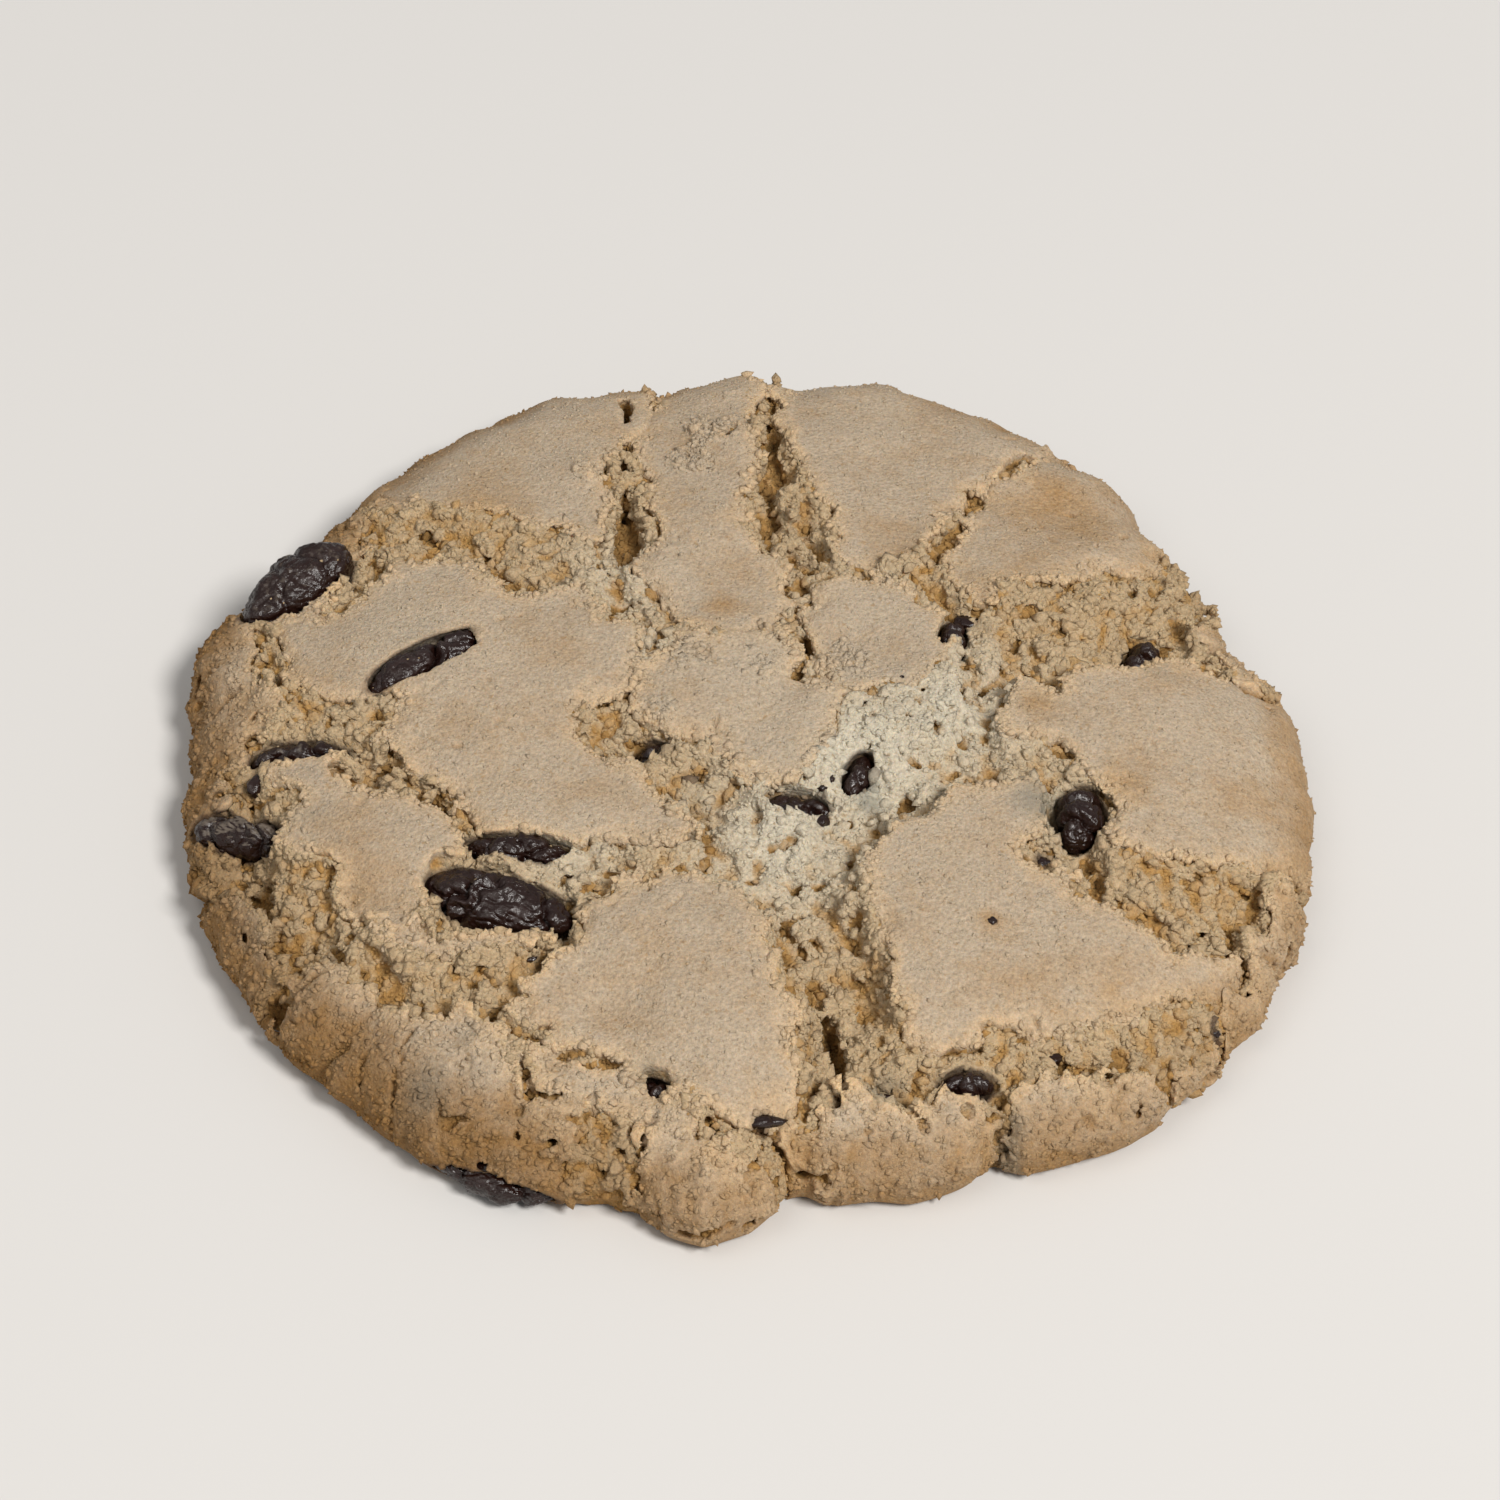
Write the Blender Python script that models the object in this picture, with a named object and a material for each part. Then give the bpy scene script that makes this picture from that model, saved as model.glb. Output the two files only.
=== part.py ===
"""Chocolate chip cookie: one baked dough body with its chocolate chips.

The dough is a sphere pressed into the cookie's profile. Its crust has split
into plates, and the crumb between them is lower. Each chip is a piece of its
own, held in a socket of the dough. Lengths are in metres, +Z is up, +X is to
the right and -Y is the front. Plan positions below are in millimetres.
"""
import math

import bmesh
import bpy
import numpy as np
from mathutils import Matrix, Vector, noise

MM = 0.001

# Driving dimensions, in millimetres
COOKIE_HEIGHT = 13.0
RIM_HEIGHT = 3.5
BASE_SHARE = 0.95
FLAT_SHARE = 0.90
PROFILE_POWER = 4.0
CRUST_EDGE_DEPTH = 0.6
CRACK_DEPTH = 3.0
CRACK_DEPTH_PER_WIDTH = 0.42
CRACK_WALL = 0.7
WIDEST_GAP = 9.0
RIM_CRACK_SHARE = 0.45
RIM_CRACK_START = 0.84
GROOVE_FLOOR_HALF = 0.25
GROOVE_WALL_HALF = 0.80
CRUST_SWELL = 0.35
CRUST_SWELL_LENGTH = 13.0
CRUST_SWELL_PLACE = (5.2, 0.4, 8.8)
CRUMB_LUMP = 0.9
CRUMB_LUMP_LENGTH = 3.2
CRUMB_LUMP_PLACE = (9.3, 1.9, 4.5)
EDGE_RAGGED = 0.9
EDGE_RAGGED_LENGTH = 2.6
EDGE_RAGGED_PLACE = (3.1, 7.7, 0.5)
FLAT_BASE_HEIGHT = 0.2
SOCKET_GAP = 0.35

# The dough's mesh
SPHERE_STEPS = 7
TOP_ANGLE = math.radians(100.0)
FLANK_ANGLE = math.radians(130.0)
RIM_SHARE = 0.65
DOUGH_DETAIL = 0.103

# The plan map that holds the depth of the cracks
MAP_HALF = 56.0
MAP_STEP = 0.5
MAP_BLUR_STEPS = 2

# Radius of the rim at its widest, by the angle from +X
RIM = (
    (0, 48.4), (10, 46.9), (18, 45.5), (26, 46.3), (34, 46.5), (44, 48.7), (60, 50.6), (75, 53.2),
    (84, 51.8), (90, 52.7), (99, 50.2), (110, 52.3), (120, 52.0), (132, 50.1), (144, 48.2),
    (152, 49.4), (166, 50.2), (180, 48.1), (190, 47.3), (210, 48.4), (228, 48.1), (238, 48.8),
    (256, 47.5), (266, 50.0), (276, 46.1), (286, 47.5), (294, 47.0), (308, 49.7), (320, 50.0),
    (340, 49.2), (350, 48.4),
)

# Outlines of the crust plates on the top
PLATES = {
    "left_big": (
        (-39, 13.5), (-33, 15.5), (-31.5, 22), (-23, 18.5), (-19, 15), (-12, 11), (-9, 9),
        (-9.5, 4), (-13, -1), (-10.5, -6.5), (-7, -9.5), (-5.2, -14.5), (-18, -15), (-22, -13.5),
        (-26, -7), (-30.8, -2), (-29.5, 1.5), (-37.5, 4.5),
    ),
    "left_lower": (
        (-40, -3.5), (-34, -4), (-31, -7.5), (-27, -9), (-22.8, -14.5), (-26, -20), (-25, -24),
        (-16, -25.5), (-25, -27.5), (-30, -24.5), (-33, -17.5), (-38.5, -13),
    ),
    "front": (
        (-14, -22), (-9, -19.8), (-4, -19.5), (1.2, -24), (2, -30), (4.3, -39.5), (-1.5, -42.5),
        (-6, -39), (-14.5, -36), (-19.5, -32.5), (-15.5, -28),
    ),
    "right_front": (
        (8.5, -16), (12, -12), (16.5, -8.7), (23, -7), (25.3, -10), (24.5, -15), (23, -17),
        (26.8, -20.5), (34, -24.3), (39.6, -24.5), (36.5, -29), (27, -33.5), (19, -34),
        (12, -35.5), (10.7, -26), (9.5, -20),
    ),
    "right": (
        (23, 3.2), (26, 2), (30, 5.3), (38, 8.5), (46, 8), (54, 2), (54, -10), (46, -12),
        (42, -14.8), (30, -15.5), (30, -11), (28, -8), (22.5, -3), (20.7, -1),
    ),
    "back_right": (
        (16.5, 20), (20.5, 29.5), (25, 36), (36, 50), (46, 38), (36, 25), (36, 20), (28, 17.5),
        (20, 13.5),
    ),
    "back": (
        (3, 58), (18, 58), (36, 50), (28, 38), (19.5, 29.5), (15.5, 20.5), (8, 18), (4.5, 29.5),
        (2.8, 40),
    ),
    "back_middle": (
        (-7, 58), (0, 58), (1.5, 34), (1, 26), (4, 17), (3.5, 13), (-2, 9), (-6, 11), (-10, 18),
        (-8.5, 28), (-9.5, 38),
    ),
    "back_sliver": ((2.5, 30), (4.2, 30), (6, 19.5), (4.5, 20), (2, 28)),
    "back_left": (
        (-33, 30), (-42, 40), (-28, 54), (-10, 58), (-9, 39), (-12.3, 34), (-12, 22), (-20, 24.5),
        (-29, 28),
    ),
    "centre": (
        (-6, 10), (0, 9.3), (3.8, 9.5), (4.8, 3.5), (8, 1.8), (6.5, -5), (2.5, -11), (-2.8, -5),
        (-8.5, -2.5), (-9.3, 2.5),
    ),
    "centre_right": (
        (5.5, 16.3), (8, 17), (14.5, 15), (16.5, 12), (16.5, 8), (14, 2.5), (8, 2.5), (5.8, 6),
        (4.2, 12),
    ),
}

# Outlines of the crust lobes round the rim, which run out past it
LOBES = {
    "left": (
        (-43.5, 20), (-41.5, 9), (-39, 3), (-42.5, -4), (-43.5, -8.5), (-54, -8), (-54, 18),
        (-46, 24),
    ),
    "left_front": (
        (-43, -15.5), (-39.5, -19.5), (-38, -24), (-38, -29), (-47, -35), (-54, -20), (-52, -14),
    ),
    "front_left": (
        (-36.5, -26), (-30.5, -29.5), (-20.5, -32.5), (-18.5, -38), (-14, -45), (-16, -54),
        (-36, -48), (-46, -33),
    ),
    "front_lump": ((-17, -36.5), (-11, -38), (-8.5, -39.5), (-10, -42.5), (-15, -41)),
    "front_bump": ((-9, -43), (-4, -45), (2, -46), (3, -54), (-12, -54)),
    "front_lip": (
        (3, -43), (7, -40), (16.5, -39), (19, -44), (20, -54), (4, -54), (4.5, -46),
    ),
    "front_right": (
        (20, -41.5), (21, -38), (33, -34.5), (40, -26), (43, -16), (52, -14), (52, -26),
        (40, -44), (24, -54), (20.5, -50),
    ),
    "right_back": ((38.5, 15), (41.5, 8), (54, 9), (52, 32), (46, 38), (38, 30), (41, 25)),
    "back_left_collar": (
        (-46, 24), (-43, 15), (-37, 14), (-34, 18), (-33, 24), (-34, 30), (-44, 38), (-54, 28),
    ),
}

# Grooves and pits deeper than the cracks: start, end, width and depth
GROOVES = {
    "front_trench": ((6.2, -32.0), (7.5, -40.0), 2.6, 5.5),
    "centre_groove": ((-4.8, -11.0), (-3.2, -20.0), 1.8, 3.6),
    "centre_slot": ((4.8, 4.5), (5.0, 9.5), 1.4, 3.4),
    "back_crack": ((-11.0, 40.0), (-10.6, 20.0), 1.9, 4.0),
    "back_middle_crack": ((2.4, 48.0), (1.9, 30.0), 1.5, 3.2),
    "back_right_crack": ((28.0, 40.0), (20.2, 30.0), 1.3, 2.0),
    "back_right_crack_end": ((20.2, 30.0), (16.0, 20.0), 1.5, 2.6),
    "right_hole": ((33.3, 8.0), (33.6, 11.0), 3.4, 4.6),
    "rim_pit": ((23.5, -36.0), (23.9, -36.0), 1.4, 3.0),
    "left_pit": ((-37.8, -26.6), (-37.2, -27.4), 2.2, 3.0),
}

# Chips: centre in plan, height of the top, length, width, thickness, turn and dip in degrees
CHIPS = {
    "chip_back_left": (-38.9, 18.8, 11.6, 11.5, 6.4, 5.6, 38.0, -8.0),
    "chip_left_top": (-27.0, 7.0, 13.1, 11.5, 4.0, 4.4, 33.0, 0.0),
    "chip_left_crack": (-37.4, -2.2, 10.4, 8.5, 3.6, 4.4, -5.0, -8.0),
    "chip_left_rim": (-42.0, -9.2, 8.5, 9.6, 3.0, 4.2, -26.0, -12.0),
    "chip_pair_back": (-18.7, -15.0, 12.4, 8.9, 3.3, 4.2, -8.0, 0.0),
    "chip_pair_front": (-20.4, -20.4, 12.5, 12.4, 5.8, 5.0, -20.0, 0.0),
    "chip_centre_left": (-7.4, -3.8, 11.9, 4.4, 3.6, 4.2, -35.0, 0.0),
    "chip_centre": (4.0, -9.9, 11.9, 6.4, 3.0, 4.0, -8.0, 0.0),
    "chip_centre_wedge": (9.1, -6.0, 11.9, 5.2, 2.6, 3.6, 68.0, 0.0),
    "chip_right": (27.2, -11.0, 12.6, 7.0, 4.6, 4.8, 78.0, 0.0),
    "chip_centre_right": (17.3, 10.2, 12.0, 5.6, 2.9, 4.2, 76.0, 0.0),
    "chip_right_hole": (33.8, 11.4, 9.0, 4.8, 3.8, 4.0, 60.0, 0.0),
    "chip_front_crack": (-7.0, -39.4, 9.0, 5.6, 3.0, 3.8, -30.0, 0.0),
    "chip_front_right": (17.2, -38.2, 9.3, 4.6, 2.8, 3.6, 6.0, 0.0),
    "chip_base_left": (-19.5, -42.4, 3.5, 11.4, 4.4, 3.0, -23.0, 0.0),
}
CHIP_LUMP = 0.22
CHIP_LUMP_LENGTH = 0.9
CHIP_LUMP_STEP = (1.7, 0.6, 2.0)
BIG_CHIP = 9.0
BIG_CHIP_STEPS = 3
SMALL_CHIP_STEPS = 2

DOUGH_COLOUR = (0.56, 0.37, 0.19, 1.0)
CHIP_COLOUR = (0.035, 0.015, 0.012, 1.0)


def clear_scene():
    """Remove whatever the scene holds."""
    for item in list(bpy.data.objects):
        bpy.data.objects.remove(item, do_unlink=True)


def new_collection(name):
    """Make a collection in the scene."""
    collection = bpy.data.collections.new(name)
    bpy.context.scene.collection.children.link(collection)
    return collection


def new_material(name, colour, roughness):
    """Make a Principled material."""
    material = bpy.data.materials.new(name)
    material.use_nodes = True
    shader = material.node_tree.nodes["Principled BSDF"]
    shader.inputs["Base Color"].default_value = colour
    shader.inputs["Roughness"].default_value = roughness
    shader.inputs["Metallic"].default_value = 0.0
    return material


def noise_values(points, length, origin):
    """Smooth noise from -1 to 1 at each point, with features of the given length."""
    scaled = points / length + np.array(origin)
    return np.array([noise.noise(Vector(point)) for point in scaled])


def smooth_step(low, high, values):
    """Rise from 0 to 1 between two values."""
    share = np.clip((values - low) / (high - low), 0.0, 1.0)
    return share * share * (3.0 - 2.0 * share)


def rim_radius(angle):
    """Radius of the rim at an angle in radians."""
    angles, radii = zip(*RIM)
    return np.interp(np.degrees(angle), angles, radii, period=360.0)


def outline_distance(x, y, outline):
    """Distance to a closed outline, negative inside it."""
    nearest = np.full(x.shape, np.inf)
    inside = np.zeros(x.shape, dtype=bool)
    for (ax, ay), (bx, by) in zip(outline, outline[1:] + outline[:1]):
        run_x = bx - ax
        run_y = by - ay
        along = ((x - ax) * run_x + (y - ay) * run_y) / (run_x ** 2 + run_y ** 2)
        along = np.clip(along, 0.0, 1.0)
        nearest = np.minimum(nearest, np.hypot(x - ax - along * run_x, y - ay - along * run_y))
        if ay != by:
            crosses = (ay > y) != (by > y)
            inside ^= crosses & (x < ax + (y - ay) * run_x / run_y)
    return np.where(inside, -nearest, nearest)


def run_since_crust(gap):
    """Distance from each row of the map back to the last crust before it."""
    run = np.zeros(gap.shape)
    for row in range(1, len(gap)):
        run[row] = np.where(gap[row], run[row - 1] + MAP_STEP, 0.0)
    return run


def blur(values, steps):
    """Average each cell with its neighbours, a few times."""
    for _ in range(steps):
        for axis in (0, 1):
            values = (np.roll(values, 1, axis) + 2.0 * values + np.roll(values, -1, axis)) / 4.0
    return values


def groove_depth(x, y, start, end, width, depth):
    """Depth of a straight groove with round ends and sloping walls."""
    run_x = end[0] - start[0]
    run_y = end[1] - start[1]
    along = ((x - start[0]) * run_x + (y - start[1]) * run_y) / (run_x ** 2 + run_y ** 2)
    along = np.clip(along, 0.0, 1.0)
    away = np.hypot(x - start[0] - along * run_x, y - start[1] - along * run_y)
    return depth * (1.0 - smooth_step(width * GROOVE_FLOOR_HALF, width * GROOVE_WALL_HALF, away))


def crack_map():
    """Depth below the skin over the plan: the crumb slopes down to the front.

    The cracks grow shallow where they run out at the rim.
    """
    ticks = np.arange(-MAP_HALF, MAP_HALF + MAP_STEP / 2, MAP_STEP)
    x, y = np.meshgrid(ticks, ticks)
    plan = np.stack([x.ravel(), y.ravel(), np.zeros(x.size)], axis=1)
    ragged = EDGE_RAGGED * noise_values(plan, EDGE_RAGGED_LENGTH, EDGE_RAGGED_PLACE)
    lumps = CRUMB_LUMP * noise_values(plan, CRUMB_LUMP_LENGTH, CRUMB_LUMP_PLACE).reshape(x.shape)

    outlines = list(PLATES.values()) + list(LOBES.values())
    edge = np.min([outline_distance(x, y, outline) for outline in outlines], axis=0)
    edge += ragged.reshape(x.shape)
    gap = edge > 0.0
    from_back = run_since_crust(gap[::-1])[::-1]
    from_front = run_since_crust(gap)
    width = np.clip(from_back + from_front, MAP_STEP, None)
    deepest = np.minimum(CRACK_DEPTH, CRUST_EDGE_DEPTH + CRACK_DEPTH_PER_WIDTH * width)
    share = np.clip(from_back / np.minimum(width, WIDEST_GAP), 0.0, 1.0)
    floor = blur(CRUST_EDGE_DEPTH + (deepest - CRUST_EDGE_DEPTH) * share, MAP_BLUR_STEPS)
    rim_share = np.hypot(x, y) / rim_radius(np.arctan2(y, x))
    shallow = 1.0 - (1.0 - RIM_CRACK_SHARE) * smooth_step(RIM_CRACK_START, 1.0, rim_share)
    depth = (floor + lumps) * shallow * smooth_step(0.0, CRACK_WALL, edge)
    for start, end, groove_width, groove_floor in GROOVES.values():
        depth = np.maximum(depth, groove_depth(x, y, start, end, groove_width, groove_floor))
    return np.clip(depth, 0.0, None)


def sample_map(values, x, y):
    """Read the plan map between its cells."""
    column = np.clip((x + MAP_HALF) / MAP_STEP, 0.0, values.shape[1] - 1.001)
    row = np.clip((y + MAP_HALF) / MAP_STEP, 0.0, values.shape[0] - 1.001)
    left = column.astype(int)
    low = row.astype(int)
    across = column - left
    up = row - low
    front = values[low, left] * (1.0 - across) + values[low, left + 1] * across
    back = values[low + 1, left] * (1.0 - across) + values[low + 1, left + 1] * across
    return front * (1.0 - up) + back * up


def press_to_profile(points):
    """Press points of a unit sphere into the cookie's smooth profile."""
    angle = np.arctan2(points[:, 1], points[:, 0])
    polar = np.arccos(np.clip(points[:, 2], -1.0, 1.0))
    rim = rim_radius(angle)

    top_share = FLAT_SHARE * np.sin(polar / 2.0) / math.sin(TOP_ANGLE / 2.0)
    top_height = np.sqrt(np.clip(1.0 - top_share ** PROFILE_POWER, 0.0, 1.0))

    travel = np.clip((polar - TOP_ANGLE) / (FLANK_ANGLE - TOP_ANGLE), 0.0, 1.0)
    start_turn = math.asin(FLAT_SHARE ** 2)
    turn = start_turn + (math.pi / 2.0 - start_turn) * np.clip(travel / RIM_SHARE, 0.0, 1.0)
    under = np.clip((travel - RIM_SHARE) / (1.0 - RIM_SHARE), 0.0, 1.0) * math.pi / 2.0
    flank_share = np.where(
        travel < RIM_SHARE, np.sqrt(np.sin(turn)), BASE_SHARE + (1.0 - BASE_SHARE) * np.cos(under)
    )
    rim_rise = (COOKIE_HEIGHT - RIM_HEIGHT) * np.clip(np.cos(turn), 0.0, 1.0)
    flank_height = np.where(
        travel < RIM_SHARE, RIM_HEIGHT + rim_rise, RIM_HEIGHT * (1.0 - np.sin(under))
    )

    base_share = BASE_SHARE * np.cos(polar / 2.0) / math.cos(FLANK_ANGLE / 2.0)
    on_top = polar < TOP_ANGLE
    on_base = polar > FLANK_ANGLE
    share = np.where(on_top, top_share, np.where(on_base, base_share, flank_share))
    height = np.where(
        on_top, RIM_HEIGHT + (COOKIE_HEIGHT - RIM_HEIGHT) * top_height,
        np.where(on_base, 0.0, flank_height),
    )
    return np.stack([share * rim * np.cos(angle), share * rim * np.sin(angle), height], axis=1)


def read_points(mesh):
    """The mesh's vertex positions as rows."""
    points = np.empty(len(mesh.vertices) * 3)
    mesh.vertices.foreach_get("co", points)
    return points.reshape(-1, 3)


def read_normals(mesh):
    """The mesh's vertex normals as rows."""
    normals = np.empty(len(mesh.vertices) * 3)
    mesh.vertex_normals.foreach_get("vector", normals)
    return normals.reshape(-1, 3)


def write_points(mesh, points):
    """Move the mesh's vertices."""
    mesh.vertices.foreach_set("co", points.ravel())
    mesh.update()


def sphere_mesh(name, steps):
    """A unit sphere of even triangles."""
    shape = bmesh.new()
    bmesh.ops.create_icosphere(shape, subdivisions=steps, radius=1.0)
    mesh = bpy.data.meshes.new(name)
    shape.to_mesh(mesh)
    shape.free()
    return mesh


def place(name, mesh, collection, material):
    """Link a mesh to a collection as a named object."""
    item = bpy.data.objects.new(name, mesh)
    collection.objects.link(item)
    if material is not None:
        mesh.materials.append(material)
    return item


def make_dough(collection, material):
    """The baked body: profile, crust plates, cracks and crumb."""
    mesh = sphere_mesh("dough", SPHERE_STEPS)
    points = press_to_profile(read_points(mesh))
    write_points(mesh, points)
    normals = read_normals(mesh)
    depth = sample_map(crack_map(), points[:, 0], points[:, 1])
    swell = CRUST_SWELL * noise_values(points, CRUST_SWELL_LENGTH, CRUST_SWELL_PLACE)
    above_base = smooth_step(FLAT_BASE_HEIGHT, RIM_HEIGHT, points[:, 2])
    points -= normals * ((depth + np.abs(swell)) * above_base)[:, None]
    points[:, 2] = np.clip(points[:, 2], 0.0, None)
    write_points(mesh, points * MM)
    dough = place("dough", mesh, collection, material)
    thin = dough.modifiers.new("fewer_triangles", "DECIMATE")
    thin.ratio = DOUGH_DETAIL
    return dough


def chip_points(sphere, length, width, thickness, seed):
    """A lumpy, slightly slumped chip about its own centre, in millimetres."""
    lumps = CHIP_LUMP * noise_values(sphere, CHIP_LUMP_LENGTH, seed * np.array(CHIP_LUMP_STEP))
    size = np.array([length, width, thickness]) / 2.0
    return sphere * (1.0 + lumps[:, None]) * size


def make_chip(name, seed, parts, cutters, material):
    """A chip, and the larger shape that cuts its socket."""
    x, y, top, length, width, thickness, turn, dip = CHIPS[name]
    steps = BIG_CHIP_STEPS if length > BIG_CHIP else SMALL_CHIP_STEPS
    matrix = (
        Matrix.Translation(Vector((x, y, top - thickness / 2.0)) * MM)
        @ Matrix.Rotation(math.radians(turn), 4, "Z")
        @ Matrix.Rotation(math.radians(dip), 4, "Y")
    )
    mesh = sphere_mesh(name, steps)
    points = chip_points(read_points(mesh), length, width, thickness, seed)
    write_points(mesh, points * MM)
    normals = read_normals(mesh)
    socket_mesh = mesh.copy()
    write_points(socket_mesh, (points + normals * SOCKET_GAP) * MM)
    chip = place(name, mesh, parts, material)
    socket = place(name + "_socket", socket_mesh, cutters, None)
    for item in (chip, socket):
        item.data.transform(matrix)
    for polygon in mesh.polygons:
        polygon.use_smooth = True
    socket.hide_render = True
    socket.display_type = "WIRE"
    return chip


def cut_sockets(dough, cutters):
    """Cut every chip's socket out of the dough."""
    cut = dough.modifiers.new("chip_sockets", "BOOLEAN")
    cut.operation = "DIFFERENCE"
    cut.operand_type = "COLLECTION"
    cut.collection = cutters


def centre_on_origin(parts, cutters):
    """Move everything in plan so that the cookie's bounds are centred."""
    bpy.context.view_layer.update()
    graph = bpy.context.evaluated_depsgraph_get()
    corners = []
    for item in parts.objects:
        mesh = item.evaluated_get(graph).data
        corners.append(read_points(mesh))
    corners = np.concatenate(corners)
    shift = -(corners.max(axis=0) + corners.min(axis=0)) / 2.0
    shift[2] = 0.0
    for item in list(parts.objects) + list(cutters.objects):
        item.data.transform(Matrix.Translation(Vector(shift)))
    print("moved in plan by", shift[:2] / MM, "mm")


def main():
    """Build the cookie: its dough, then each chip with its socket."""
    clear_scene()
    parts = new_collection("chocolate_chip_cookie")
    cutters = new_collection("cutters")
    dough_material = new_material("baked_dough", DOUGH_COLOUR, 0.85)
    chip_material = new_material("dark_chocolate", CHIP_COLOUR, 0.4)
    dough = make_dough(parts, dough_material)
    for seed, name in enumerate(CHIPS, start=1):
        make_chip(name, seed, parts, cutters, chip_material)
    cut_sockets(dough, cutters)
    centre_on_origin(parts, cutters)


main()
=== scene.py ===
"""Chocolate chip cookie: the crust, crumb and chips, laid over the cookie's frame.

Run as a script in Blender 4.5. Positions in plan and depths are written in
millimetres, with +X to the right, +Y to the back and +Z up; meshes are metres.
"""
import math

import bmesh
import bpy
import numpy as np
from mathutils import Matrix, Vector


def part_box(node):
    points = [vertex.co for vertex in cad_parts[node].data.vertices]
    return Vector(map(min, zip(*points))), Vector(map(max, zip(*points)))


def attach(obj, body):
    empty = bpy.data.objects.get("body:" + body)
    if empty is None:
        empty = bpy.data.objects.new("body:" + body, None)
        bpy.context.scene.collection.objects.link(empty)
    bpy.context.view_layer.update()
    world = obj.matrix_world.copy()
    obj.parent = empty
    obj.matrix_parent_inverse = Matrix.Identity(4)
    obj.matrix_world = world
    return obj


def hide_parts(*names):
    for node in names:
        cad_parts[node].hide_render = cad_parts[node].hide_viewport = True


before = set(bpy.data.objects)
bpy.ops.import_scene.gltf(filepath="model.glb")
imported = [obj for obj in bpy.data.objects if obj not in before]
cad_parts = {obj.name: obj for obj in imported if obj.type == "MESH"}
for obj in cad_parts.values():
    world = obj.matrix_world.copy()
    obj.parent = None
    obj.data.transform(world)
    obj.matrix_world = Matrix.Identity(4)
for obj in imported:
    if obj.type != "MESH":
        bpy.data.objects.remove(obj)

import openvdb
from bpy.props import FloatProperty, FloatVectorProperty, IntProperty, PointerProperty
from mathutils import Matrix, Vector, noise
from mathutils.bvhtree import BVHTree

bl_info = {
    "name": "Chocolate chip cookie",
    "version": (1, 0, 0),
    "blender": (4, 5, 0),
    "location": "View3D > Sidebar > Cookie",
    "description": "Builds the crust, crumb and chips of a cracked cookie over its frame",
    "category": "Add Mesh",
}

MM = 0.001

# The frame stands this far from the outlines below, in plan
PLAN_SHIFT = (0.165, -1.382)

# The cookie's smooth profile
COOKIE_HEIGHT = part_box("dough")[1].z / MM
RIM_HEIGHT = 3.5
BASE_SHARE = 0.95
PROFILE_POWER = 4.0
BASE_EDGE = 0.25

# How far the layers of dough stand apart or reach, in millimetres
CLIFF_DEPTH = 0.75
LOBE_THICKNESS = 2.4
PORE_DEPTH = 0.9
SKIN_GAP = 0.03
BODY_RISE = 0.05
BODY_STEP = 0.10

# Noise that makes the outlines ragged: share, length and seed of each layer
RAGGED_LAYERS = ((1.6, 5.5, 29), (1.5, 2.6, 11), (1.3, 1.2, 12), (1.1, 0.6, 17))

# Shallowest depth of a plate's face and of a lobe's below the profile, before their noise
PLATE_DEPTH = 0.50
LOBE_DEPTH = 0.65

# Weight of the lumps over which the pores open too
POROUS_WEIGHT = 0.45

# Distances that mean far away: in an empty field, round the meshed volume, past the profile
FAR = 9.0
MESH_BACKGROUND = 3.0
PROFILE_LIMIT = 6.0

# Depth of the narrowest crack's floor, its growth with the width, and the width that stops it
NARROW_DEPTH = 0.9
DEPTH_PER_WIDTH = 0.42
WIDEST_SLOPE = 9.0

# How far round a chip the dough is opened
CARVE_REACH = 2.5

# Top of the model's small forms, just under the cookie's height
HIGHEST = COOKIE_HEIGHT - 0.02

# How far the crust reaches over a chip's edge
CHIP_COVER = {
    "chip_left_top": 0.5, "chip_pair_front": 0.0, "chip_back_left": 0.0, "chip_right": 0.0,
    "chip_base_left": 2.5, "chip_front_crack": 0.8,
}
USUAL_COVER = 0.2

# Volume in cubic millimetres under which a loose scrap of dough is dropped
SCRAP_VOLUME = 1.5

DOUGH_PIECES = ("crumb_body", "crust_plates", "rim_crust")

# Radius of the rim at its widest, by the angle from +X
RIM = (
    (0, 48.4), (10, 46.9), (18, 45.5), (26, 46.3), (34, 46.5), (44, 48.7), (60, 50.6), (75, 53.2),
    (84, 51.8), (90, 52.7), (99, 50.2), (110, 52.3), (120, 52.0), (132, 50.1), (144, 48.2),
    (152, 49.4), (166, 50.2), (180, 48.1), (190, 47.3), (210, 48.4), (228, 48.1), (238, 48.8),
    (256, 47.5), (266, 50.0), (276, 46.1), (286, 47.5), (294, 47.0), (308, 49.7), (320, 50.0),
    (340, 49.2), (350, 48.4),
)

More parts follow.
